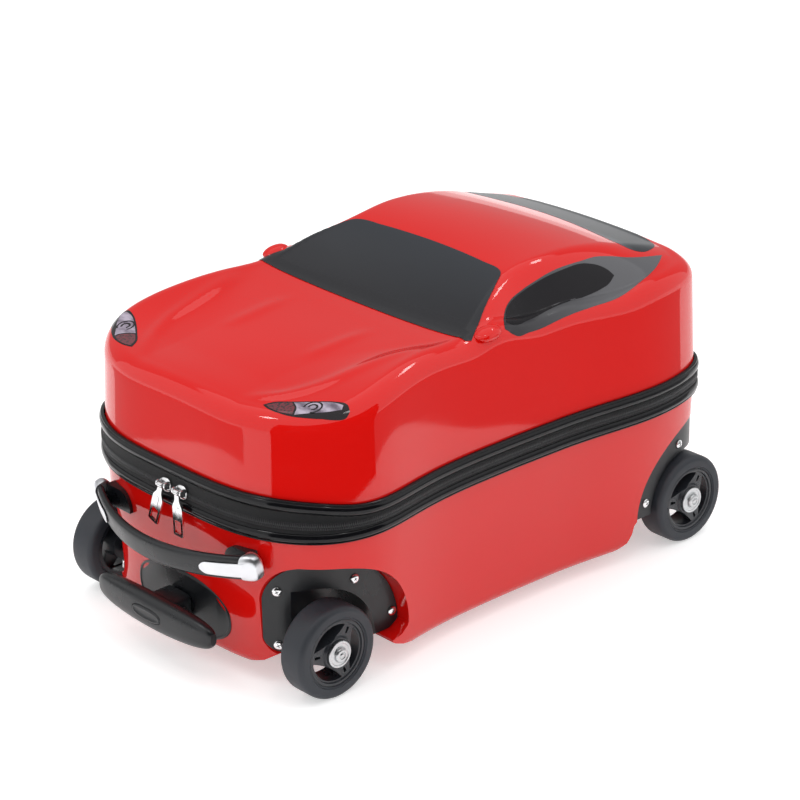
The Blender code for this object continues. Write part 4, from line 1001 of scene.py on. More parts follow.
def drop_on_lid(x, y, lift):
    """Point just above the lid's outer skin over a plan point."""
    place, normal, _, _ = LID_TREE.ray_cast(Vector((x, y, DROP_HEIGHT)), Vector((0.0, 0.0, -1.0)))
    if place is None:
        shoulder = float(lid_height(x, y)) - LID_EDGE_RADIUS
        place, normal, _, _ = LID_TREE.find_nearest(Vector((x, y, shoulder)))
    if normal.z < 0:
        normal = -normal
    return place + normal * lift


def make_mirror_pod(name, side):
    """Smooth moulded bump for a wing mirror, its foot sunk half way into the shell."""
    x, y = MIRROR_PLACE
    z = float(lid_height(x, y))
    long, wide, tall = MIRROR_HALF_SIZES
    rings = []
    for angle in np.linspace(*MIRROR_TURNS, 16):
        rise = math.sin(math.radians(angle))
        share = math.cos(math.radians(angle))
        lean = MIRROR_LEAN * max(rise, 0.0)
        level = z + tall * rise
        ring = []
        for a, b in oval(long * share, wide * share, 32, MIRROR_POWER):
            place = (side * (x + b), y + a + lean)
            sunk = drop_on_lid(*place, -SHELL_THICKNESS / 2)
            ring.append((*place, level) if level > sunk.z else tuple(sunk))
        rings.append(ring)
    attach(loft("mirror_pod_" + name, rings, RED), "lid", "red_shell")


def mirrored(half):
    """Whole outline from its +X half, which starts and ends on the middle line."""
    return (*half, *((-x, y) for x, y in half[-2:0:-1]))


def smooth_loop(points):
    """Closed outline through plan points in millimetres, rounded except at sharp corners."""
    points = np.array(points, float) / 1000.0
    count = len(points)
    directions = []
    for k in range(count):
        before = points[k] - points[k - 1]
        after = points[(k + 1) % count] - points[k]
        turn = abs(math.atan2(before[0] * after[1] - before[1] * after[0], before @ after))
        direction = before / np.linalg.norm(before) + after / np.linalg.norm(after)
        directions.append(None if turn > OUTLINE_CORNER else direction / np.linalg.norm(direction))
    result = []
    for k in range(count):
        following = (k + 1) % count
        way = points[following] - points[k]
        span = np.linalg.norm(way)
        slopes = [way if directions[n] is None else directions[n] * span for n in (k, following)]
        steps = max(2, int(span / OUTLINE_STEP))
        result += [cubic(t, points[k], points[following], *slopes) for t in np.arange(steps) / steps]
    return result


def print_on_lid(name, outline, material, layers, side=1, grid=PRINT_GRID):
    """Thin printed patch laid on the lid inside a plan outline, so many layers above the shell."""
    loop = [Vector((side * p[0], p[1])) for p in smooth_loop(outline)]
    if side < 0:
        loop.reverse()
    edges = np.array([tuple(p) for p in loop])
    low = edges.min(axis=0)
    high = edges.max(axis=0)
    inside = []
    for x in np.arange(low[0] + grid / 2, high[0], grid):
        for y in np.arange(low[1] + grid / 2, high[1], grid):
            if np.min(np.hypot(edges[:, 0] - x, edges[:, 1] - y)) > grid * RIM_SHARE:
                inside.append(Vector((x, y)))
    count = len(loop)
    rim = [(k, (k + 1) % count) for k in range(count)]
    points, _, faces, _, _, _ = delaunay_2d_cdt(loop + inside, rim, [], 1, PRINT_NEARNESS)
    vertices = [drop_on_lid(p.x, p.y, layers * PRINT_LAYER) for p in points]
    patch = mesh_object(name, vertices, [tuple(f) for f in faces], material, sharp=80.0)
    if patch.data.polygons and patch.data.polygons[0].normal.z < 0:
        patch.data.flip_normals()
    attach(patch, "lid", "red_shell")


def ring_outline(centre, radius, width, turns):
    """Outline in millimetres of an arc of this width, from one angle to another."""
    outer = radius + width / 2
    inner = radius - width / 2
    return arc(centre, (outer, outer), turns, 13) + arc(centre, (inner, inner), turns[::-1], 13)


def make_prints():
    """Printed windows and lamps, each a layer or two above the one under it, and the mirror bumps."""
    print_on_lid("windscreen_print", mirrored(HALF_WINDSCREEN), SCREEN, 3, grid=SCREEN_GRID)
    print_on_lid("rear_window_print", mirrored(HALF_REAR_WINDOW), REAR_PRINT, 1)
    prints = (
        ("side_window_print_", SIDE_WINDOW, SIDE_RIM, 1, SIDE_GRID),
        ("side_glass_print_", SIDE_GLASS, SIDE_DARK, 2, SIDE_GRID),
        ("lamp_print_", LAMP, LAMP_EDGE, 1, SIDE_GRID),
        ("lamp_grille_print_", LAMP_GRILLE, LAMP_GRILLE_LOOK, 2, SCREEN_GRID),
        ("lamp_lens_print_", LAMP_LENS, LAMP_LENS_LOOK, 2, SCREEN_GRID),
    )
    for name, side in SIDES:
        make_mirror_pod(name, side)
        for kind, outline, material, layers, grid in prints:
            print_on_lid(kind + name, outline, material, layers, side, grid)
        for number, (radius, width) in enumerate(LAMP_RINGS, 1):
            outline = ring_outline(LAMP_RING_CENTRE, radius, width, LAMP_RING_TURNS)
            print_on_lid("lamp_ring_%d_print_%s" % (number, name), outline, LAMP_EDGE, 3, side, RING_GRID)


def nose_share(y):
    """How far a place has turned on to the nose: 0 along the sides, 1 across the front."""
    return 1.0 / (1.0 + np.exp((y - BAND_RISE_Y) / BAND_RISE_SPREAD))


def band_ring(inset, z, rise):
    """Ring round the case at one height, lifted or lowered across the nose."""
    ring = body_ring(inset)
    return np.column_stack([ring, z + rise * nose_share(ring[:, 1])])


def belt(name, sections, material):
    """Closed loop of one section round the case, with its length and width as texture coordinates."""
    length = np.concatenate([[0.0], np.cumsum(np.linalg.norm(np.diff(sections[0], axis=0), axis=1))])
    uvs = [(along, place[2]) for section in sections for along, place in zip(length, section)]
    faces = ring_faces(len(sections), len(length), wrap=True)
    return mesh_object(name, np.vstack(sections), faces, material, uvs, sharp=60.0)


def make_piping(name, z_low, rise, body):
    """Rounded glossy bead round one shell's edge, with a thin lip beside it."""
    back = SHELL_INSET - GAP
    section = ((back, 0.0), *PIPING_SECTION, (back, 1.0))
    if body == "base":
        section = [(inset, 1.0 - share) for inset, share in section[::-1]]
    rings = [band_ring(inset, z_low + PIPING_HEIGHT * share, rise) for inset, share in section]
    attach(belt(name + "_bead", rings, PIPING), body, "black_piping", name)


def make_tape(name, low, low_rise, high, high_rise, body):
    """Woven strip beside the zipper's coil, with a turned edge."""
    back = SHELL_INSET - GAP
    rings = [band_ring(back, low, low_rise)]
    for share in (0.0, 0.25, 0.5, 0.75, 1.0):
        inset = TAPE_INSET + TAPE_CLEARANCE + TAPE_SAG * math.sin(math.pi * share)
        rise = low_rise + (high_rise - low_rise) * share
        rings.append(band_ring(inset, low + (high - low) * share, rise))
    rings.append(band_ring(back, high, high_rise))
    attach(belt(name + "_weave", rings, TAPE), body, "zipper_fabric", name)


def make_teeth(body, sign):
    """Half of the zipper's coil: a row of rounded loops round three sides, above or below the split."""
    line = np.asarray(body_ring(COIL_INSET, COIL_LINE_STEPS, 0.0))
    line = np.vstack([line, line[:1]])
    length = np.concatenate([[0.0], np.cumsum(np.linalg.norm(np.diff(line, axis=0), axis=1))])
    offset = 0.0 if sign > 0 else 0.5
    across = len(COIL_ACROSS)
    vertices = []
    faces = []
    for number in range(int(length[-1] / COIL_PITCH)):
        at = (number + offset) * COIL_PITCH
        before, place, after = (np.array([np.interp(at + step, length, line[:, k]) for k in (0, 1)])
                                for step in (-0.001, 0.0, 0.001))
        if place[1] > REAR_LENGTH - HINGE_REACH_Y and abs(place[0]) < HINGE_HALF_WIDTH + 0.002:
            continue
        along = (after - before) / np.hypot(*(after - before))
        out = np.array([along[1], -along[0]])
        start = len(vertices)
        for height, wide, proud in COIL_LEVELS:
            for side, lift in COIL_ACROSS:
                point = place + along * COIL_HALF_WIDTH * wide * side
                point = point + out * COIL_PROUD * proud * (lift + 0.25)
                vertices.append((*point, SPLIT_Z + sign * COIL_HEIGHT * height))
        for level in range(len(COIL_LEVELS) - 1):
            for k in range(across - 1):
                first = start + level * across + k
                faces.append((first, first + 1, first + 1 + across, first + across))
    coil = mesh_object("zipper_coil_" + body, vertices, faces, TEETH, sharp=70.0)
    attach(coil, body, "zipper_fabric")


def make_band():
    """Piping, tape and zipper coil round the case."""
    upper = BAND_TOP_Z - PIPING_HEIGHT
    lower = BAND_BOTTOM_Z + PIPING_HEIGHT
    make_piping("lid_piping", upper, BAND_TOP_RISE, "lid")
    make_piping("base_piping", BAND_BOTTOM_Z, -BAND_BOTTOM_DROP, "base")
    make_tape("lid_zipper_tape", SPLIT_Z + GAP / 2, 0.0, upper - GAP, BAND_TOP_RISE, "lid")
    make_tape("base_zipper_tape", lower + GAP, -BAND_BOTTOM_DROP, SPLIT_Z - GAP / 2, 0.0, "base")
    make_teeth("lid", 1)
    make_teeth("base", -1)


def tyre_profile():
    """Tyre section: crowned tread, round shoulders and a shallow step inside the side wall."""
    inner = TYRE_INNER_RADIUS
    centre = (-TYRE_CROWN[0], WHEEL_RADIUS - TYRE_CROWN[1])
    shoulder = arc(centre, TYRE_CROWN, (90.0, 0.0), 8)
    outer = [(-0.0012, inner), (-0.0012, inner + 0.0010), (0.0, inner + 0.0018), *shoulder[::-1]]
    return outer + [(-WHEEL_WIDTH - x, radius) for x, radius in outer[::-1]]


def wheel_window(inner, outer, middle):
    """Prism about X for a window: round along the rim, gently bowed past the bearing."""
    turns = (-HUB_WINDOW_HALF_ANGLE, HUB_WINDOW_HALF_ANGLE)
    corners = arc((0.0, 0.0), (outer, outer), turns, 15)
    start = np.array(corners[-1])
    stop = np.array(corners[0])
    pull = np.array([2 * inner - (start[0] + stop[0]) / 2, 0.0])
    for t in np.linspace(0.0, 1.0, 9)[1:-1]:
        corners.append(tuple((1 - t) ** 2 * start + 2 * t * (1 - t) * pull + t**2 * stop))
    window = prism_x("window", rounded(corners, HUB_WINDOW_CORNER, 4), -0.03, 0.01, HUB_BLACK)
    return moved(window, Matrix.Rotation(middle, 4, "X"))


def make_hub():
    """Three-armed wheel centre with a slot in each arm and a window between each two."""
    rim = TYRE_INNER_RADIUS - GAP
    ring = rim - HUB_RIM_WALL
    boss = HUB_BOSS_RADIUS
    seat = BEARING_RADIUS + GAP
    back = -WHEEL_WIDTH
    profile = (
        (-0.0015, rim), (-0.0012, rim - 0.0008), (-0.0012, ring + 0.0006), (-0.0026, ring),
        (-0.0030, ring - 0.0010), (-0.0022, boss + 0.0012), (-0.0004, boss), (-0.0004, seat),
        (HUB_SEAT_X, seat), (HUB_SEAT_X, HUB_BORE_RADIUS), (back + 0.001, HUB_BORE_RADIUS),
        (back + 0.001, boss), (-0.0120, boss + 0.001), (-0.0120, ring), (back + 0.0015, ring),
        (back + 0.0015, rim),
    )
    hub = turned("wheel_centre", profile, 90, HUB_BLACK)
    for k in range(3):
        arm = SPOKE_ANGLE + 2 * math.pi * k / 3
        boolean(hub, wheel_window(boss + 0.0002, ring - 0.0010, arm + math.pi / 3))
        slot = prism_x("slot", rounded(HUB_SLOT, 0.0006, 3), -0.0100, 0.01, HUB_BLACK)
        boolean(hub, moved(slot, Matrix.Rotation(arm, 4, "X")))
    return soften(hub, HUB_EDGE)


def make_bearing():
    """Ball bearing: two bright races with a recessed shield between them."""
    r = BEARING_RADIUS
    bore = BEARING_BORE_RADIUS
    profile = (
        (0.0, bore), (0.0, 0.0060), (-0.0004, 0.0063), (-0.0006, 0.0066), (-0.0006, 0.0088),
        (-0.0004, 0.0090), (0.0, 0.0093), (0.0, r - 0.0004), (-0.0004, r), (-BEARING_WIDTH, r),
        (-BEARING_WIDTH, bore),
    )
    return turned("bearing_rings", profile, 64, STEEL, sharp=40.0)


def make_bolt():
    """Low bolt head with a soft rim and a shallow ring in its face, and its shank."""
    head = BOLT_HEAD_RADIUS
    profile = (
        (0, 0), (BOLT_REACH, BOLT_SHANK_RADIUS), (GAP, BOLT_SHANK_RADIUS), (GAP, head),
        (0.0014, head), (0.0022, head - 0.0004), (0.0026, head - 0.0012), (0.0027, 0.0032),
        (0.0021, 0.0029), (0.0021, 0.0025), (0.0028, 0.0021), (0.0031, 0.0010), (0, 0),
    )
    return turned("bolt", profile, 48, STEEL, sharp=50.0)


def make_screw():
    """Domed screw head with a crossed slot."""
    foot, shank = SCREW_SHANK
    edge = SCREW_HEAD_RADIUS
    profile = [(0, 0), (foot, shank), (GAP, shank), (GAP, edge + 0.0001), (0.0008, edge)]
    for turn in np.linspace(0.25, 1.45, 6):
        profile.append((0.0006 + SCREW_HEAD_DOME * math.sin(turn), edge * math.cos(turn) + 0.0002))
    profile.append((0, 0))
    screw = turned("screw", profile, 28, CHROME)
    for turn in (0.4, 0.4 + math.pi / 2):
        slot = prism_x("slot", SCREW_SLOT, SCREW_SLOT_FLOOR, 0.01, HUB_BLACK)
        boolean(screw, moved(slot, Matrix.Rotation(turn, 4, "X")))
    return screw


def end_index(end):
    """Place of an end's value in the (front, rear) pairs."""
    return 0 if end < 0 else 1


def pocket_profile(end, grow):
    """Side outline of the recess for a wheel housing; end is -1 at the nose and 1 at the tail."""
    k = end_index(end)
    centre_y, centre_z = ARCH_CENTRES[k]
    half_length = ARCH_HALF_LENGTHS[k] + grow
    half_height = HOUSING_TOP_ZS[k] - centre_z + grow
    points = [(CUT_Y, CUT_Z), (CUT_Y, centre_z + half_height)]
    points += arc(ARCH_CENTRES[k], (half_length, half_height), (90.0, 180.0), 25)
    lip = centre_y - half_length
    bottom = HOUSING_BOTTOM_ZS[k] - grow
    points += [(lip + y, bottom + z) for y, z in LIP_FEET[k]]
    well = WELL_INNER_YS[k] + 0.004
    points += [(well, bottom), (well, CUT_Z)]
    return [(end * y, z) for y, z in points]


def well_profile(end, grow):
    """Side outline of the space that the wheel runs in."""
    top = WELL_TOP_Z + grow
    inner = WELL_INNER_YS[end_index(end)] - grow
    radius = WELL_CORNER_RADII[end_index(end)] + grow
    points = [(CUT_Y, CUT_Z), (CUT_Y, top)]
    points += arc((inner + radius, top - radius), (radius, radius), (90.0, 180.0), 16)
    points.append((inner, CUT_Z))
    return [(end * y, z) for y, z in points]


def pocket_prism(end, side, grow, material):
    """Recess for one wheel housing: its side outline crossed with its rounded end outline."""
    low, high = sorted((side * (HOUSING_INNER_X - grow), side * CUT_X))
    piece = prism_x("corner", pocket_profile(end, grow), low, high, material)
    top = HOUSING_TOP_ZS[end_index(end)] + grow + HOUSING_SLACK
    bottom = HOUSING_BOTTOM_ZS[end_index(end)] - grow - HOUSING_SLACK
    inner = HOUSING_INNER_X - grow - HOUSING_SLACK
    radius = HOUSING_CORNER_RADIUS + grow
    foot = HOUSING_FOOT_RADIUS + grow
    outline = [(CUT_X + CUT_MORE, CUT_Z - CUT_MORE), (CUT_X + CUT_MORE, top)]
    outline += arc((inner + radius, top - radius), (radius, radius), (90.0, 180.0), 18)
    outline += arc((inner + foot, bottom + foot), (foot, foot), (180.0, 270.0), 12)
    outline.append((inner + foot, CUT_Z - CUT_MORE))
    outline = [(side * x, z) for x, z in outline]
    bar = prism_y("end_outline", outline, end * CUT_START_Y, end * (CUT_Y + CUT_MORE), material)
    return boolean(piece, bar, "INTERSECT")


def well_prism(end, side, grow, material, reach=CUT_X):
    """Space for one wheel."""
    low, high = sorted((side * (WELL_INNER_X - grow), side * reach))
    return prism_x("well", well_profile(end, grow), low, high, material)


def sill_prism(end, side, grow, material):
    """Space under the base's side where it rises towards a wheel."""
    sill = [(y - grow, z + grow) for y, z in SILLS[end_index(end)]]
    profile = [(CUT_Y, CUT_Z), (CUT_Y, sill[0][1]), *sill, (sill[-1][0], CUT_Z)]
    inner = WELL_INNER_X - HOUSING_THICKNESS - 2 * GAP - grow
    low, high = sorted((side * inner, side * CUT_X))
    return prism_x("sill", [(end * y, z) for y, z in profile], low, high, material)


def chin_prism(end, side, grow, material):
    """Space under the base's rounded lower corner between a wheel and the middle."""
    chin = [(x - grow, z + grow) for x, z in CHIN]
    foot = CUT_Z - CUT_MORE
    profile = [*chin, (CUT_X, chin[-1][1]), (CUT_X, foot), (chin[0][0], foot)]
    profile = [(side * x, z) for x, z in profile]
    return prism_y("chin", profile, end * (CHIN_START_Y - grow), end * (CUT_Y + CUT_MORE), material)


def base_body(inset, bottom, top, material):
    """Closed body of the base's outline at this inset."""
    radius = BASE_EDGE_RADIUS - (inset - SHELL_INSET)
    corner = inset + BASE_DRAFT
    rings = [at_height(body_ring(inset), top)]
    for share in (0.25, 0.5, 0.75):
        rings.append(at_height(body_ring(inset + BASE_DRAFT * share), top + (bottom + radius - top) * share))
    for turn in np.linspace(0.0, math.pi / 2, 8):
        rings.append(at_height(body_ring(corner + radius * (1 - math.cos(turn))),
                               bottom + radius * (1 - math.sin(turn))))
    return loft("base_body", rings, material, caps="strip")


def trim_to_wall(thing, material):
    """Cut the back of a piece so that it stands just off the base's outer wall."""
    return boolean(thing, base_body(SHELL_INSET - GAP, BASE_BOTTOM_Z - GAP, SPLIT_Z, material))


def make_base():
    """Lower half of the case, red outside and lined inside."""
    wall = SHELL_THICKNESS
    outer = base_body(SHELL_INSET, BASE_BOTTOM_Z, SPLIT_Z - SHELL_EDGE_GAP, RED)
    inner = base_body(SHELL_INSET + wall, BASE_BOTTOM_Z + wall, SPLIT_Z + 0.02, LINING)
    for body, grow, material in ((outer, 0.0, RED), (inner, wall, LINING)):
        depth = HOUSING_THICKNESS + 2 * GAP + grow
        for _, end in ENDS:
            for side in (-1, 1):
                recess = pocket_prism(end, side, grow, material)
                boolean(recess, housing_block("keep", depth, (-0.05, 0.2), material))
                boolean(body, recess)
                boolean(body, well_prism(end, side, depth, material))
                boolean(body, sill_prism(end, side, grow, material))
                boolean(body, chin_prism(end, side, grow, material))
    boolean(outer, inner)
    boolean(outer, tube_bar("opening", COLLAR_WALL + OPENING_GAP, (-0.20, -0.26), RED, 32))
    outer.name = "base_skin"
    attach(soften(outer, SHELL_EDGE, 3), "base", "red_shell", "base_shell")


def make_housing(end, label):
    """Wheel housing on the +X corner at one end, as one moulding with its wheel well."""
    heights = (HOUSING_BOTTOM_ZS[end_index(end)], 0.15)
    skin = housing_block("wheel_housing_fine_" + label, 0.0, heights, BLACK)
    boolean(skin, housing_block("hollow", HOUSING_THICKNESS, (0.0, 0.2), BLACK))
    boolean(skin, pocket_prism(end, 1, -2 * GAP, BLACK), "INTERSECT")
    liner = well_prism(end, 1, HOUSING_THICKNESS, BLACK, 0.16)
    boolean(liner, housing_block("inside", HOUSING_SLACK, heights, BLACK), "INTERSECT")
    boolean(skin, liner, "UNION")
    boolean(skin, well_prism(end, 1, 0.0, BLACK))
    foot, tip = AXLE_BOSS_RADII
    boss_end = WHEEL_FACE_X - WHEEL_WIDTH - 0.0025
    boss = turned("boss", ((0, 0), (WELL_INNER_X - 0.001, foot), (boss_end, tip), (0, 0)), 32, BLACK)
    boolean(skin, shifted(boss, 0.0, end * AXLE_Y, WHEEL_RADIUS), "UNION")
    return soften(skin, HOUSING_EDGE, 3)


def make_housings():
    """The four wheel housings; the -X ones are mirror copies."""
    for end_name, end in ENDS:
        left = end_name + "_left"
        right = end_name + "_right"
        housing = make_housing(end, left)
        other = copy_of(housing, "wheel_housing_fine_" + right, MIRROR_X)
        attach(housing, "base", "black_plastic", "wheel_housing_" + left)
        attach(other, "base", "black_plastic", "wheel_housing_" + right)


def handle_point(x, out, up):
    """Point of the drooping handle in the drawing frame: out along its bow, up across its face."""
    c = math.cos(HANDLE_DROOP)
    s = math.sin(HANDLE_DROOP)
    return (x, HANDLE_PIVOT_Y - out * c - up * s, HANDLE_PIVOT_Z - out * s + up * c)


def handle_bow(x):
    """How far the handle's middle line stands out at x."""
    return HANDLE_BOW * (1 - (x / HANDLE_HALF_SPAN) ** 2)


def handle_bar(name, sections, steps, power, material):
    """Bar through (x, middle, half depth, half height) sections in the handle's own plane."""
    rings = []
    for x, middle, depth, tall in sections:
        rings.append([handle_point(x, middle + out, up) for up, out in oval(tall, depth, steps, power)])
    return loft(name, rings, material)


def make_carry_handle():
    """Bowed front handle with bright end caps on two black mounts."""
    places = np.linspace(-HANDLE_GRIP_HALF_SPAN, HANDLE_GRIP_HALF_SPAN, 73)
    sections = [(x, handle_bow(x), HANDLE_THICKNESS / 2, HANDLE_HEIGHT / 2) for x in places]
    grip = handle_bar("carry_grip_fine", sections, 40, 3.0, BLACK)
    attach(grip, "carry_handle", "black_plastic", "carry_handle_grip")
    parts = (
        (make_handle_cap(), "carry_handle_cap_", "carry_handle", "polished_metal"),
        (make_handle_mount(), "carry_handle_mount_", "base", "black_plastic"),
    )
    for thing, name, body, slot in parts:
        for side, matrix in (("right", MIRROR_X), ("left", Matrix.Identity(4))):
            attach(copy_of(thing, name + "fine_" + side, matrix), body, slot, name + side)
        bpy.data.objects.remove(thing)


def on_pivot(name, low, high, radius, material):
    """Round bar along the carry handle's hinge line."""
    return shifted(rod(name, low, high, radius, 24, material), 0.0, HANDLE_PIVOT_Y, HANDLE_PIVOT_Z)


def make_handle_cap():
    """Bright end cap: a block over the handle's end with a round-nosed tongue along its front face."""
    front_face = HANDLE_THICKNESS / 2 + GAP
    sections = []
    for x in np.linspace(CAP_TONGUE_X, CAP_INNER_X + 0.004, 24):
        nose = min(1.0, (x - CAP_TONGUE_X) / CAP_TONGUE_HALF_HEIGHT)
        taper = 0.90 + 0.10 * (x - CAP_TONGUE_X) / (CAP_INNER_X - CAP_TONGUE_X)
        tall = CAP_TONGUE_HALF_HEIGHT * taper * math.sqrt(max(0.10, 1 - (1 - nose) ** 2))
        sections.append((x, handle_bow(x) + front_face + CAP_PLATE / 2, CAP_PLATE / 2, tall))
    tongue = handle_bar("tongue", sections, 32, 4.0, SATIN_CHROME)
    sections = []
    for part in np.linspace(0.0, 1.0, 14):
        share = float(smooth_line(CAP_ROUNDING, part))
        x = CAP_INNER_X + (CAP_OUTER_X - CAP_INNER_X) * part
        front = handle_bow(x) + front_face + CAP_PLATE
        back = CAP_BACK * share
        sections.append((x, (front + back) / 2, (front - back) / 2, CAP_HALF_HEIGHT * share))
    block = handle_bar("cap", sections, 40, 3.4, SATIN_CHROME)
    boolean(block, tongue, "UNION")
    bore_end = CAP_INNER_X + CAP_BORE_DEPTH
    boolean(block, on_pivot("bore", CAP_INNER_X - 0.002, bore_end, PIN_RADIUS + GAP, SATIN_CHROME))
    return soften(block, CAP_EDGE, 3)


def make_handle_mount():
    """Black block on the base's front that carries one hinge pin of the handle."""
    low = HANDLE_PIVOT_Z - MOUNT_HALF_HEIGHT
    high = HANDLE_PIVOT_Z + MOUNT_HALF_HEIGHT
    radius = 2 * MOUNT_HALF_HEIGHT - 0.003
    outline = [(MOUNT_OUTER_X, low), (MOUNT_OUTER_X, high)]
    outline += arc((MOUNT_INNER_X + radius, high - radius), (radius, radius), (90.0, 180.0), 14)
    outline.append((MOUNT_INNER_X, low))
    mount = prism_y("mount", outline, MOUNT_FRONT_Y, MOUNT_FRONT_Y + 0.02, BLACK)
    trim_to_wall(mount, BLACK)
    pin_end = CAP_INNER_X + PIN_REACH
    boolean(mount, on_pivot("pin", MOUNT_OUTER_X - 0.003, pin_end, PIN_RADIUS, BLACK), "UNION")
    return soften(mount, MOUNT_EDGE, 3)


def along_y(name, half_sizes, ys, power, material, steps=40):
    """Rounded bar along Y through the trolley's axis."""
    rings = [[(x, y, TROLLEY_Z + z) for x, z in oval(*half_sizes, steps, power)] for y in ys]
    return loft(name, rings, material)


def tube_bar(name, grow, ys, material, steps=40):
    """Bar with the outer tube's section, larger or smaller all round by this much."""
    half_sizes = [size / 2 + grow for size in OUTER_TUBE_SIZE]
    return along_y(name, half_sizes, ys, TUBE_POWER, material, steps)


def swept_plate(name, steps, half_length, half_height, front, sweep, count, power, sharp):
    """Rounded plate that bends back towards its ends, through (depth, growth) steps."""
    rings = []
    for depth, grow in steps:
        outline = oval(half_length + grow, half_height + grow, count, power)
        rings.append([(x, front + depth + sweep * x * x, TROLLEY_Z + z) for x, z in outline])
    return loft(name, rings, BLACK, caps="strip", sharp=sharp)


def make_bezel():
    """Black plate round the trolley's opening, with a soft rim and a shallow line inside it."""
    face = BEZEL_FACE_Y
    seat = TUBE_FRONT_Y
    bezel = swept_plate("trolley_bezel_fine", BEZEL_STEPS, BEZEL_HALF_LENGTH, BEZEL_HALF_HEIGHT, face,
                        BEZEL_SWEEP / BEZEL_HALF_LENGTH**2, 96, 2.4, 50.0)
    trim_to_wall(bezel, BLACK)
    boolean(bezel, tube_bar("collar", COLLAR_WALL, (face + 0.0030, seat + 0.012), BLACK), "UNION")
    boolean(bezel, tube_bar("seat", GAP, (seat - GAP, seat + 0.03), BLACK))
    boolean(bezel, tube_bar("way", -TUBE_WALL, (face - 0.01, seat + 0.002), BLACK))
    attach(bezel, "base", "black_plastic", "trolley_bezel")


def grip_section(x):
    """Share of the full section, and the middle's place along Y, at this place along the grip."""
    share = max(math.sqrt(max(0.0, 1 - (x / GRIP_HALF_LENGTH) ** 2)), 0.12) ** 0.5
    return share, GRIP_FRONT_Y + GRIP_DEPTH / 2 + GRIP_SWEEP * (x / GRIP_HALF_LENGTH) ** 2


def make_trolley_grip():
    """Boomerang-shaped grip with its neck, and the button in its front face."""
    rings = []
    for angle in np.linspace(0.0, math.pi, 65):
        x = -GRIP_HALF_LENGTH * math.cos(angle)
        share, centre_y = grip_section(x)
        section = oval(GRIP_HALF_HEIGHT * share, GRIP_DEPTH / 2 * share, 48, 2.6)
        rings.append([(x, centre_y + out, TROLLEY_Z + up) for up, out in section])
    grip = loft("trolley_grip_fine", rings, BLACK)
    neck_ys = (GRIP_FRONT_Y + GRIP_DEPTH - 0.004, BEZEL_FACE_Y - 0.0012)
    neck = along_y("neck", (NECK_HALF_WIDTH, NECK_HALF_HEIGHT), neck_ys, TUBE_POWER, BLACK)
    boolean(grip, neck, "UNION")
    socket_ys = (GRIP_FRONT_Y + 0.014 - GAP, -0.20)
    boolean(grip, tube_bar("socket", GAP - 2 * (TUBE_WALL + TUBE_CLEARANCE), socket_ys, BLACK))
    pocket_sizes = (BUTTON_HALF_LENGTH + GAP, BUTTON_HALF_HEIGHT + GAP)
    pocket_ys = (GRIP_FRONT_Y - 0.01, GRIP_FRONT_Y + BUTTON_POCKET_DEPTH)
    boolean(grip, along_y("pocket", pocket_sizes, pocket_ys, BUTTON_POWER, BLACK, 60))
    attach(soften(grip, GRIP_EDGE, 3), "trolley_handle", "black_plastic", "trolley_grip")
    button = swept_plate("trolley_button_fine", BUTTON_STEPS, BUTTON_HALF_LENGTH, BUTTON_HALF_HEIGHT,
                         GRIP_FRONT_Y, BUTTON_SWEEP, 60, BUTTON_POWER, 60.0)
    attach(button, "trolley_button", "black_plastic", "trolley_button")


def make_sliders():
    """Two cast zipper sliders on the front, each with a hanging pull."""
    front = -FRONT_LENGTH + TAPE_INSET - GAP
    bar_y = front - PULL_BAR_STAND
    bar_z = SLIDER_Z + 0.0012
    sections = (
        (0.0, 0.90), (0.0004, 0.98), (0.0010, 1.0), (0.0018, 0.96), (0.0025, 0.84),
        (SLIDER_THICKNESS, 0.62),
    )
    ear = rounded(((bar_y - 0.0013, bar_z - 0.0020), (bar_y - 0.0013, bar_z + 0.0020),
                   (front - 0.0020, bar_z + 0.0034), (front - 0.0020, bar_z - 0.0034)), 0.0014)
    for label, x, lean in zip(("right", "left"), SLIDER_XS, PULL_LEANS):
        rings = []
        for depth, share in sections:
            half = SLIDER_HALF_SIZE * share
            rings.append([(x + a, front - depth, SLIDER_Z + b) for a, b in oval(half, half, 36, 2.6)])
        slider = loft("slider_fine_" + label, rings, CHROME, sharp=50.0)
        for side in (-1, 1):
            low, high = sorted(x + side * reach for reach in EAR_XS)
            boolean(slider, prism_x("ear", ear, low, high, CHROME), "UNION")
        bar = rod("bar", -BAR_HALF_LENGTH, BAR_HALF_LENGTH, BAR_RADIUS, 20, CHROME)
        boolean(slider, shifted(bar, x, bar_y, bar_z), "UNION")
        attach(soften(slider, SLIDER_EDGE), "slider_" + label, "polished_metal", "zipper_slider_" + label)
        pull = shifted(make_pull(label, lean), x, bar_y, bar_z)
        attach(pull, "pull_" + label, "polished_metal", "zipper_pull_" + label)


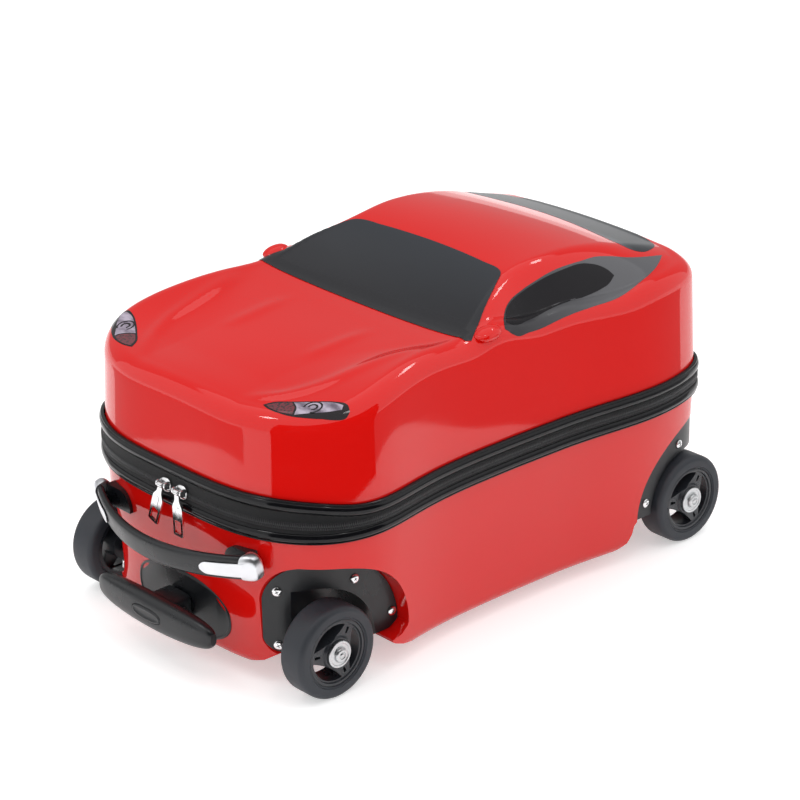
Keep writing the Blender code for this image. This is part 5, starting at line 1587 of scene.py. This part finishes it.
def make_pull(label, lean):
    """Hanging pull with a barrel round its bar, a raised middle rib and an open slot at its foot."""
    half = PULL_THICKNESS / 2
    neck = PULL_NECK_HALF_WIDTH
    wide = PULL_HALF_WIDTH
    foot = -PULL_LENGTH
    top, upper, lower = PULL_SHOULDERS
    outline = ((-neck, top), (neck, top), (neck, upper), (wide, lower), (wide, foot), (-wide, foot),
               (-wide, lower), (-neck, upper))
    outline = rounded(outline, PULL_CORNER, 6)
    pull = prism_y("pull_fine_" + label, outline, -half, half, CHROME)
    hole = rounded(box_outline(wide - 0.0022, foot + 0.0025, foot + 0.0130), 0.0012)
    boolean(pull, prism_y("hole", hole, -0.01, 0.01, CHROME))
    rib = rounded(box_outline(PULL_RIB_HALF_WIDTH, foot + 0.0145, -0.0120), 0.0012)
    boolean(pull, prism_y("rib", rib, -half - 0.0003, half, CHROME), "UNION")
    moved(pull, Matrix.Rotation(lean, 4, "Y"))
    end_radius, radius = PULL_BARREL_RADII
    shoulder = neck - (radius - end_radius)
    barrel = ((0, 0), (-neck, end_radius), (-shoulder, radius), (shoulder, radius),
              (neck, end_radius), (0, 0))
    boolean(pull, turned("barrel", barrel, 28, CHROME), "UNION")
    boolean(pull, rod("bore", -0.01, 0.01, PULL_BORE_RADIUS, 20, CHROME))
    return soften(pull, PULL_EDGE)


def box_outline(half, low, high):
    """Rectangle about the middle line, from low to high."""
    return ((-half, low), (half, low), (half, high), (-half, high))


def screw_poses(end):
    """Placing matrices of a housing's four screws on the +X side, square to its face."""
    half = PLAN_SAMPLES // 2
    own = slice(0, half) if end < 0 else slice(PLAN_SAMPLES - 1, half, -1)
    plan = HOUSING_PLAN[own]
    normals = plan_normals(HOUSING_PLAN)[own]
    index = np.arange(len(plan))
    wanted = [(np.interp(NOSE_SCREW_X, plan[:, 0], index), z) for z in NOSE_SCREW_ZS]
    for y, z in SIDE_SCREWS[end_index(end)]:
        wanted.append((np.interp(-y, -np.abs(plan[:, 1]), index), z))
    poses = []
    for k, z in wanted:
        x, y, out_x, out_y = (float(np.interp(k, index, row)) for row in (*plan.T, *normals.T))
        turn = Matrix.Rotation(math.atan2(out_y, out_x), 4, "Z")
        poses.append(Matrix.Translation((x, y, z)) @ turn)
    return poses


def make_wheels():
    """Fine wheels, bearings, bolts and screws in the CAD pieces' places."""
    tyre = turned("tyre_rubber", tyre_profile(), 96, RUBBER, sharp=40.0)
    parts = (
        ("tyre", tyre, "tyre_rubber", 0.0),
        ("wheel_hub", make_hub(), "wheel_plastic", 0.0),
        ("bearing", make_bearing(), "steel", BEARING_PROUD),
        ("axle_bolt", make_bolt(), "steel", BEARING_PROUD),
    )
    screw = make_screw()
    for end_name, end in ENDS:
        for side_name, side in SIDES:
            label = end_name + "_" + side_name
            node = "tyre_" + label
            low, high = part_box(node)
            axle_y = (low.y + high.y) / 2 - SHIFT_Y
            turn = Matrix.Rotation(0.0 if side > 0 else math.pi, 4, "Z")
            for kind, thing, slot, proud in parts:
                place = Matrix.Translation((side * (WHEEL_FACE_X + proud), axle_y, WHEEL_RADIUS)) @ turn
                body = "base" if kind == "axle_bolt" else "wheel_" + label
                attach(copy_of(thing, kind + "_fine_" + label, place), body, slot, kind + "_" + label)
            mirror = Matrix.Scale(side, 4, (1.0, 0.0, 0.0))
            for number, pose in enumerate(screw_poses(end), 1):
                node = "housing_screw_%s_%d" % (label, number)
                attach(copy_of(screw, node + "_fine", mirror @ pose), "base", "polished_metal", node)
    for thing in (screw, *(part[1] for part in parts)):
        bpy.data.objects.remove(thing)


def finish_cad_nodes():
    """Materials and a small rounding for the CAD nodes that stay."""
    looks = (
        (ALUMINIUM, ("trolley_tube_outer", "trolley_tube_middle", "trolley_tube_inner")),
        (TAPE, ("base_hinge_tape", "lid_hinge_tape")),
        (STEEL, ("trolley_grip_screw",)),
    )
    for material, nodes in looks:
        for node in nodes:
            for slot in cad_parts[node].material_slots:
                slot.material = material
    soften(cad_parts["trolley_grip_screw"], SCREW_EDGE)


def make_camera():
    """Camera at the photograph's place."""
    azimuth, elevation, roll = (math.radians(v) for v in (CAMERA_AZIMUTH, CAMERA_ELEVATION, CAMERA_ROLL))
    back = Vector((math.sin(azimuth) * math.cos(elevation), -math.cos(azimuth) * math.cos(elevation),
                   math.sin(elevation)))
    level = Vector((math.cos(azimuth), math.sin(azimuth), 0.0))
    rise = back.cross(level)
    right = level * math.cos(roll) + rise * math.sin(roll)
    up = rise * math.cos(roll) - level * math.sin(roll)
    metres = CAMERA_DISTANCE / FOCAL_PIXELS
    place = Vector(CAMERA_TARGET) + back * CAMERA_DISTANCE
    place -= right * (OPTICAL_CENTRE[0] - PICTURE_SIZE / 2) * metres
    place += up * (OPTICAL_CENTRE[1] - PICTURE_SIZE / 2) * metres
    data = bpy.data.cameras.new("camera")
    data.sensor_width = SENSOR_WIDTH
    data.lens = FOCAL_PIXELS * SENSOR_WIDTH / PICTURE_SIZE
    data.clip_start = 0.05
    data.clip_end = 50.0
    camera = bpy.data.objects.new("camera", data)
    camera.matrix_world = Matrix.Translation(place) @ Matrix((right, up, back)).transposed().to_4x4()
    bpy.context.scene.collection.objects.link(camera)
    bpy.context.scene.camera = camera


def backdrop_rays(tree):
    """Socket that is 1 for the rays that see the backdrop: camera, glossy and transmission."""
    path = tree.nodes.new("ShaderNodeLightPath")
    seen = path.outputs["Is Camera Ray"]
    for ray in ("Is Glossy Ray", "Is Transmission Ray"):
        either = tree.nodes.new("ShaderNodeMath")
        either.operation = "MAXIMUM"
        tree.links.new(seen, either.inputs[0])
        tree.links.new(path.outputs[ray], either.inputs[1])
        seen = either.outputs[0]
    return seen


def make_floor():
    """White studio floor that keeps a soft shadow for the eye and in reflections."""
    size = FLOOR_SIZE
    corners = [(-size, -size, 0.0), (size, -size, 0.0), (size, size, 0.0), (-size, size, 0.0)]
    look = Look("floor_white", (FLOOR_WHITE,) * 3, 0.6, specular=0.0)
    look.vary_colour(look.noise(3.0, 2.0), 0.99, 1.01)
    look.set("Emission Color", WHITE)
    look.feed("Emission Strength", look.math("MULTIPLY", backdrop_rays(look.tree), FLOOR_GLOW))
    floor = mesh_object("floor", corners, [(0, 1, 2, 3)], look.material)
    floor.location = (0.0, 0.0, 0.0)


def make_world():
    """White backdrop for the eye, gloss and glass, and an even dome for light."""
    world = bpy.data.worlds.new("studio")
    bpy.context.scene.world = world
    world.use_nodes = True
    tree = world.node_tree
    nodes = tree.nodes
    nodes.clear()
    mix = nodes.new("ShaderNodeMixShader")
    tree.links.new(backdrop_rays(tree), mix.inputs["Fac"])
    for socket, strength in ((1, DOME_LIGHT), (2, 1.0)):
        shader = nodes.new("ShaderNodeBackground")
        shader.inputs["Color"].default_value = WHITE
        shader.inputs["Strength"].default_value = strength
        tree.links.new(shader.outputs[0], mix.inputs[socket])
    output = nodes.new("ShaderNodeOutputWorld")
    tree.links.new(mix.outputs[0], output.inputs["Surface"])


def make_painted_reflection(name, centre, radius, turns, heights, level):
    """Curved sheet that only gloss sees, standing round a point: a painted reflection that glows grey or
    near black at its level and is clear to every other ray.
    """
    line = arc(centre, (radius, radius), turns, 24)
    vertices = [(x, y, z) for z in heights for x, y in line]
    look = Look(name, (0.0, 0.0, 0.0), 1.0)
    seen = look.node("LightPath").outputs["Is Glossy Ray"]
    clear = look.node("BsdfTransparent").outputs[0]
    reflection_glow = look.node("Emission", {"Color": WHITE, "Strength": level}).outputs[0]
    mix = look.node("MixShader", {0: seen, 1: clear, 2: reflection_glow})
    look.tree.links.new(mix.outputs[0], look.tree.nodes["Material Output"].inputs["Surface"])
    faces = ring_faces(len(heights), len(line), closed=False)
    reflection_sheet = mesh_object(name, vertices, faces, look.material)


def make_lamp(name, azimuth, elevation, distance, size, radiance):
    """Soft box in one direction from the case, facing it; its power follows from how bright it looks."""
    turn = math.radians(azimuth)
    rise = math.radians(elevation)
    way = Vector((math.cos(turn) * math.cos(rise), math.sin(turn) * math.cos(rise), math.sin(rise)))
    data = bpy.data.lights.new(name, "AREA")
    data.shape = "RECTANGLE"
    data.size, data.size_y = size
    data.energy = radiance * math.pi * size[0] * size[1]
    lamp = bpy.data.objects.new(name, data)
    lamp.location = Vector(LAMP_AIM) + way * distance
    lamp.rotation_mode = "QUATERNION"
    lamp.rotation_quaternion = (-way).to_track_quat("-Z", "Y")
    bpy.context.scene.collection.objects.link(lamp)


make_prints()
make_base()
make_housings()
make_band()
make_wheels()
make_carry_handle()
make_bezel()
make_trolley_grip()
make_sliders()
finish_cad_nodes()
make_camera()
make_floor()
make_world()
# Sheets that glow only in reflections: painted reflections, grey or near black
for reflection_sheet in REFLECTION_SHEETS:
    make_painted_reflection(*reflection_sheet)
for soft_box in SOFT_BOXES:
    make_lamp(*soft_box)
bpy.context.scene.view_settings.view_transform = "Standard"
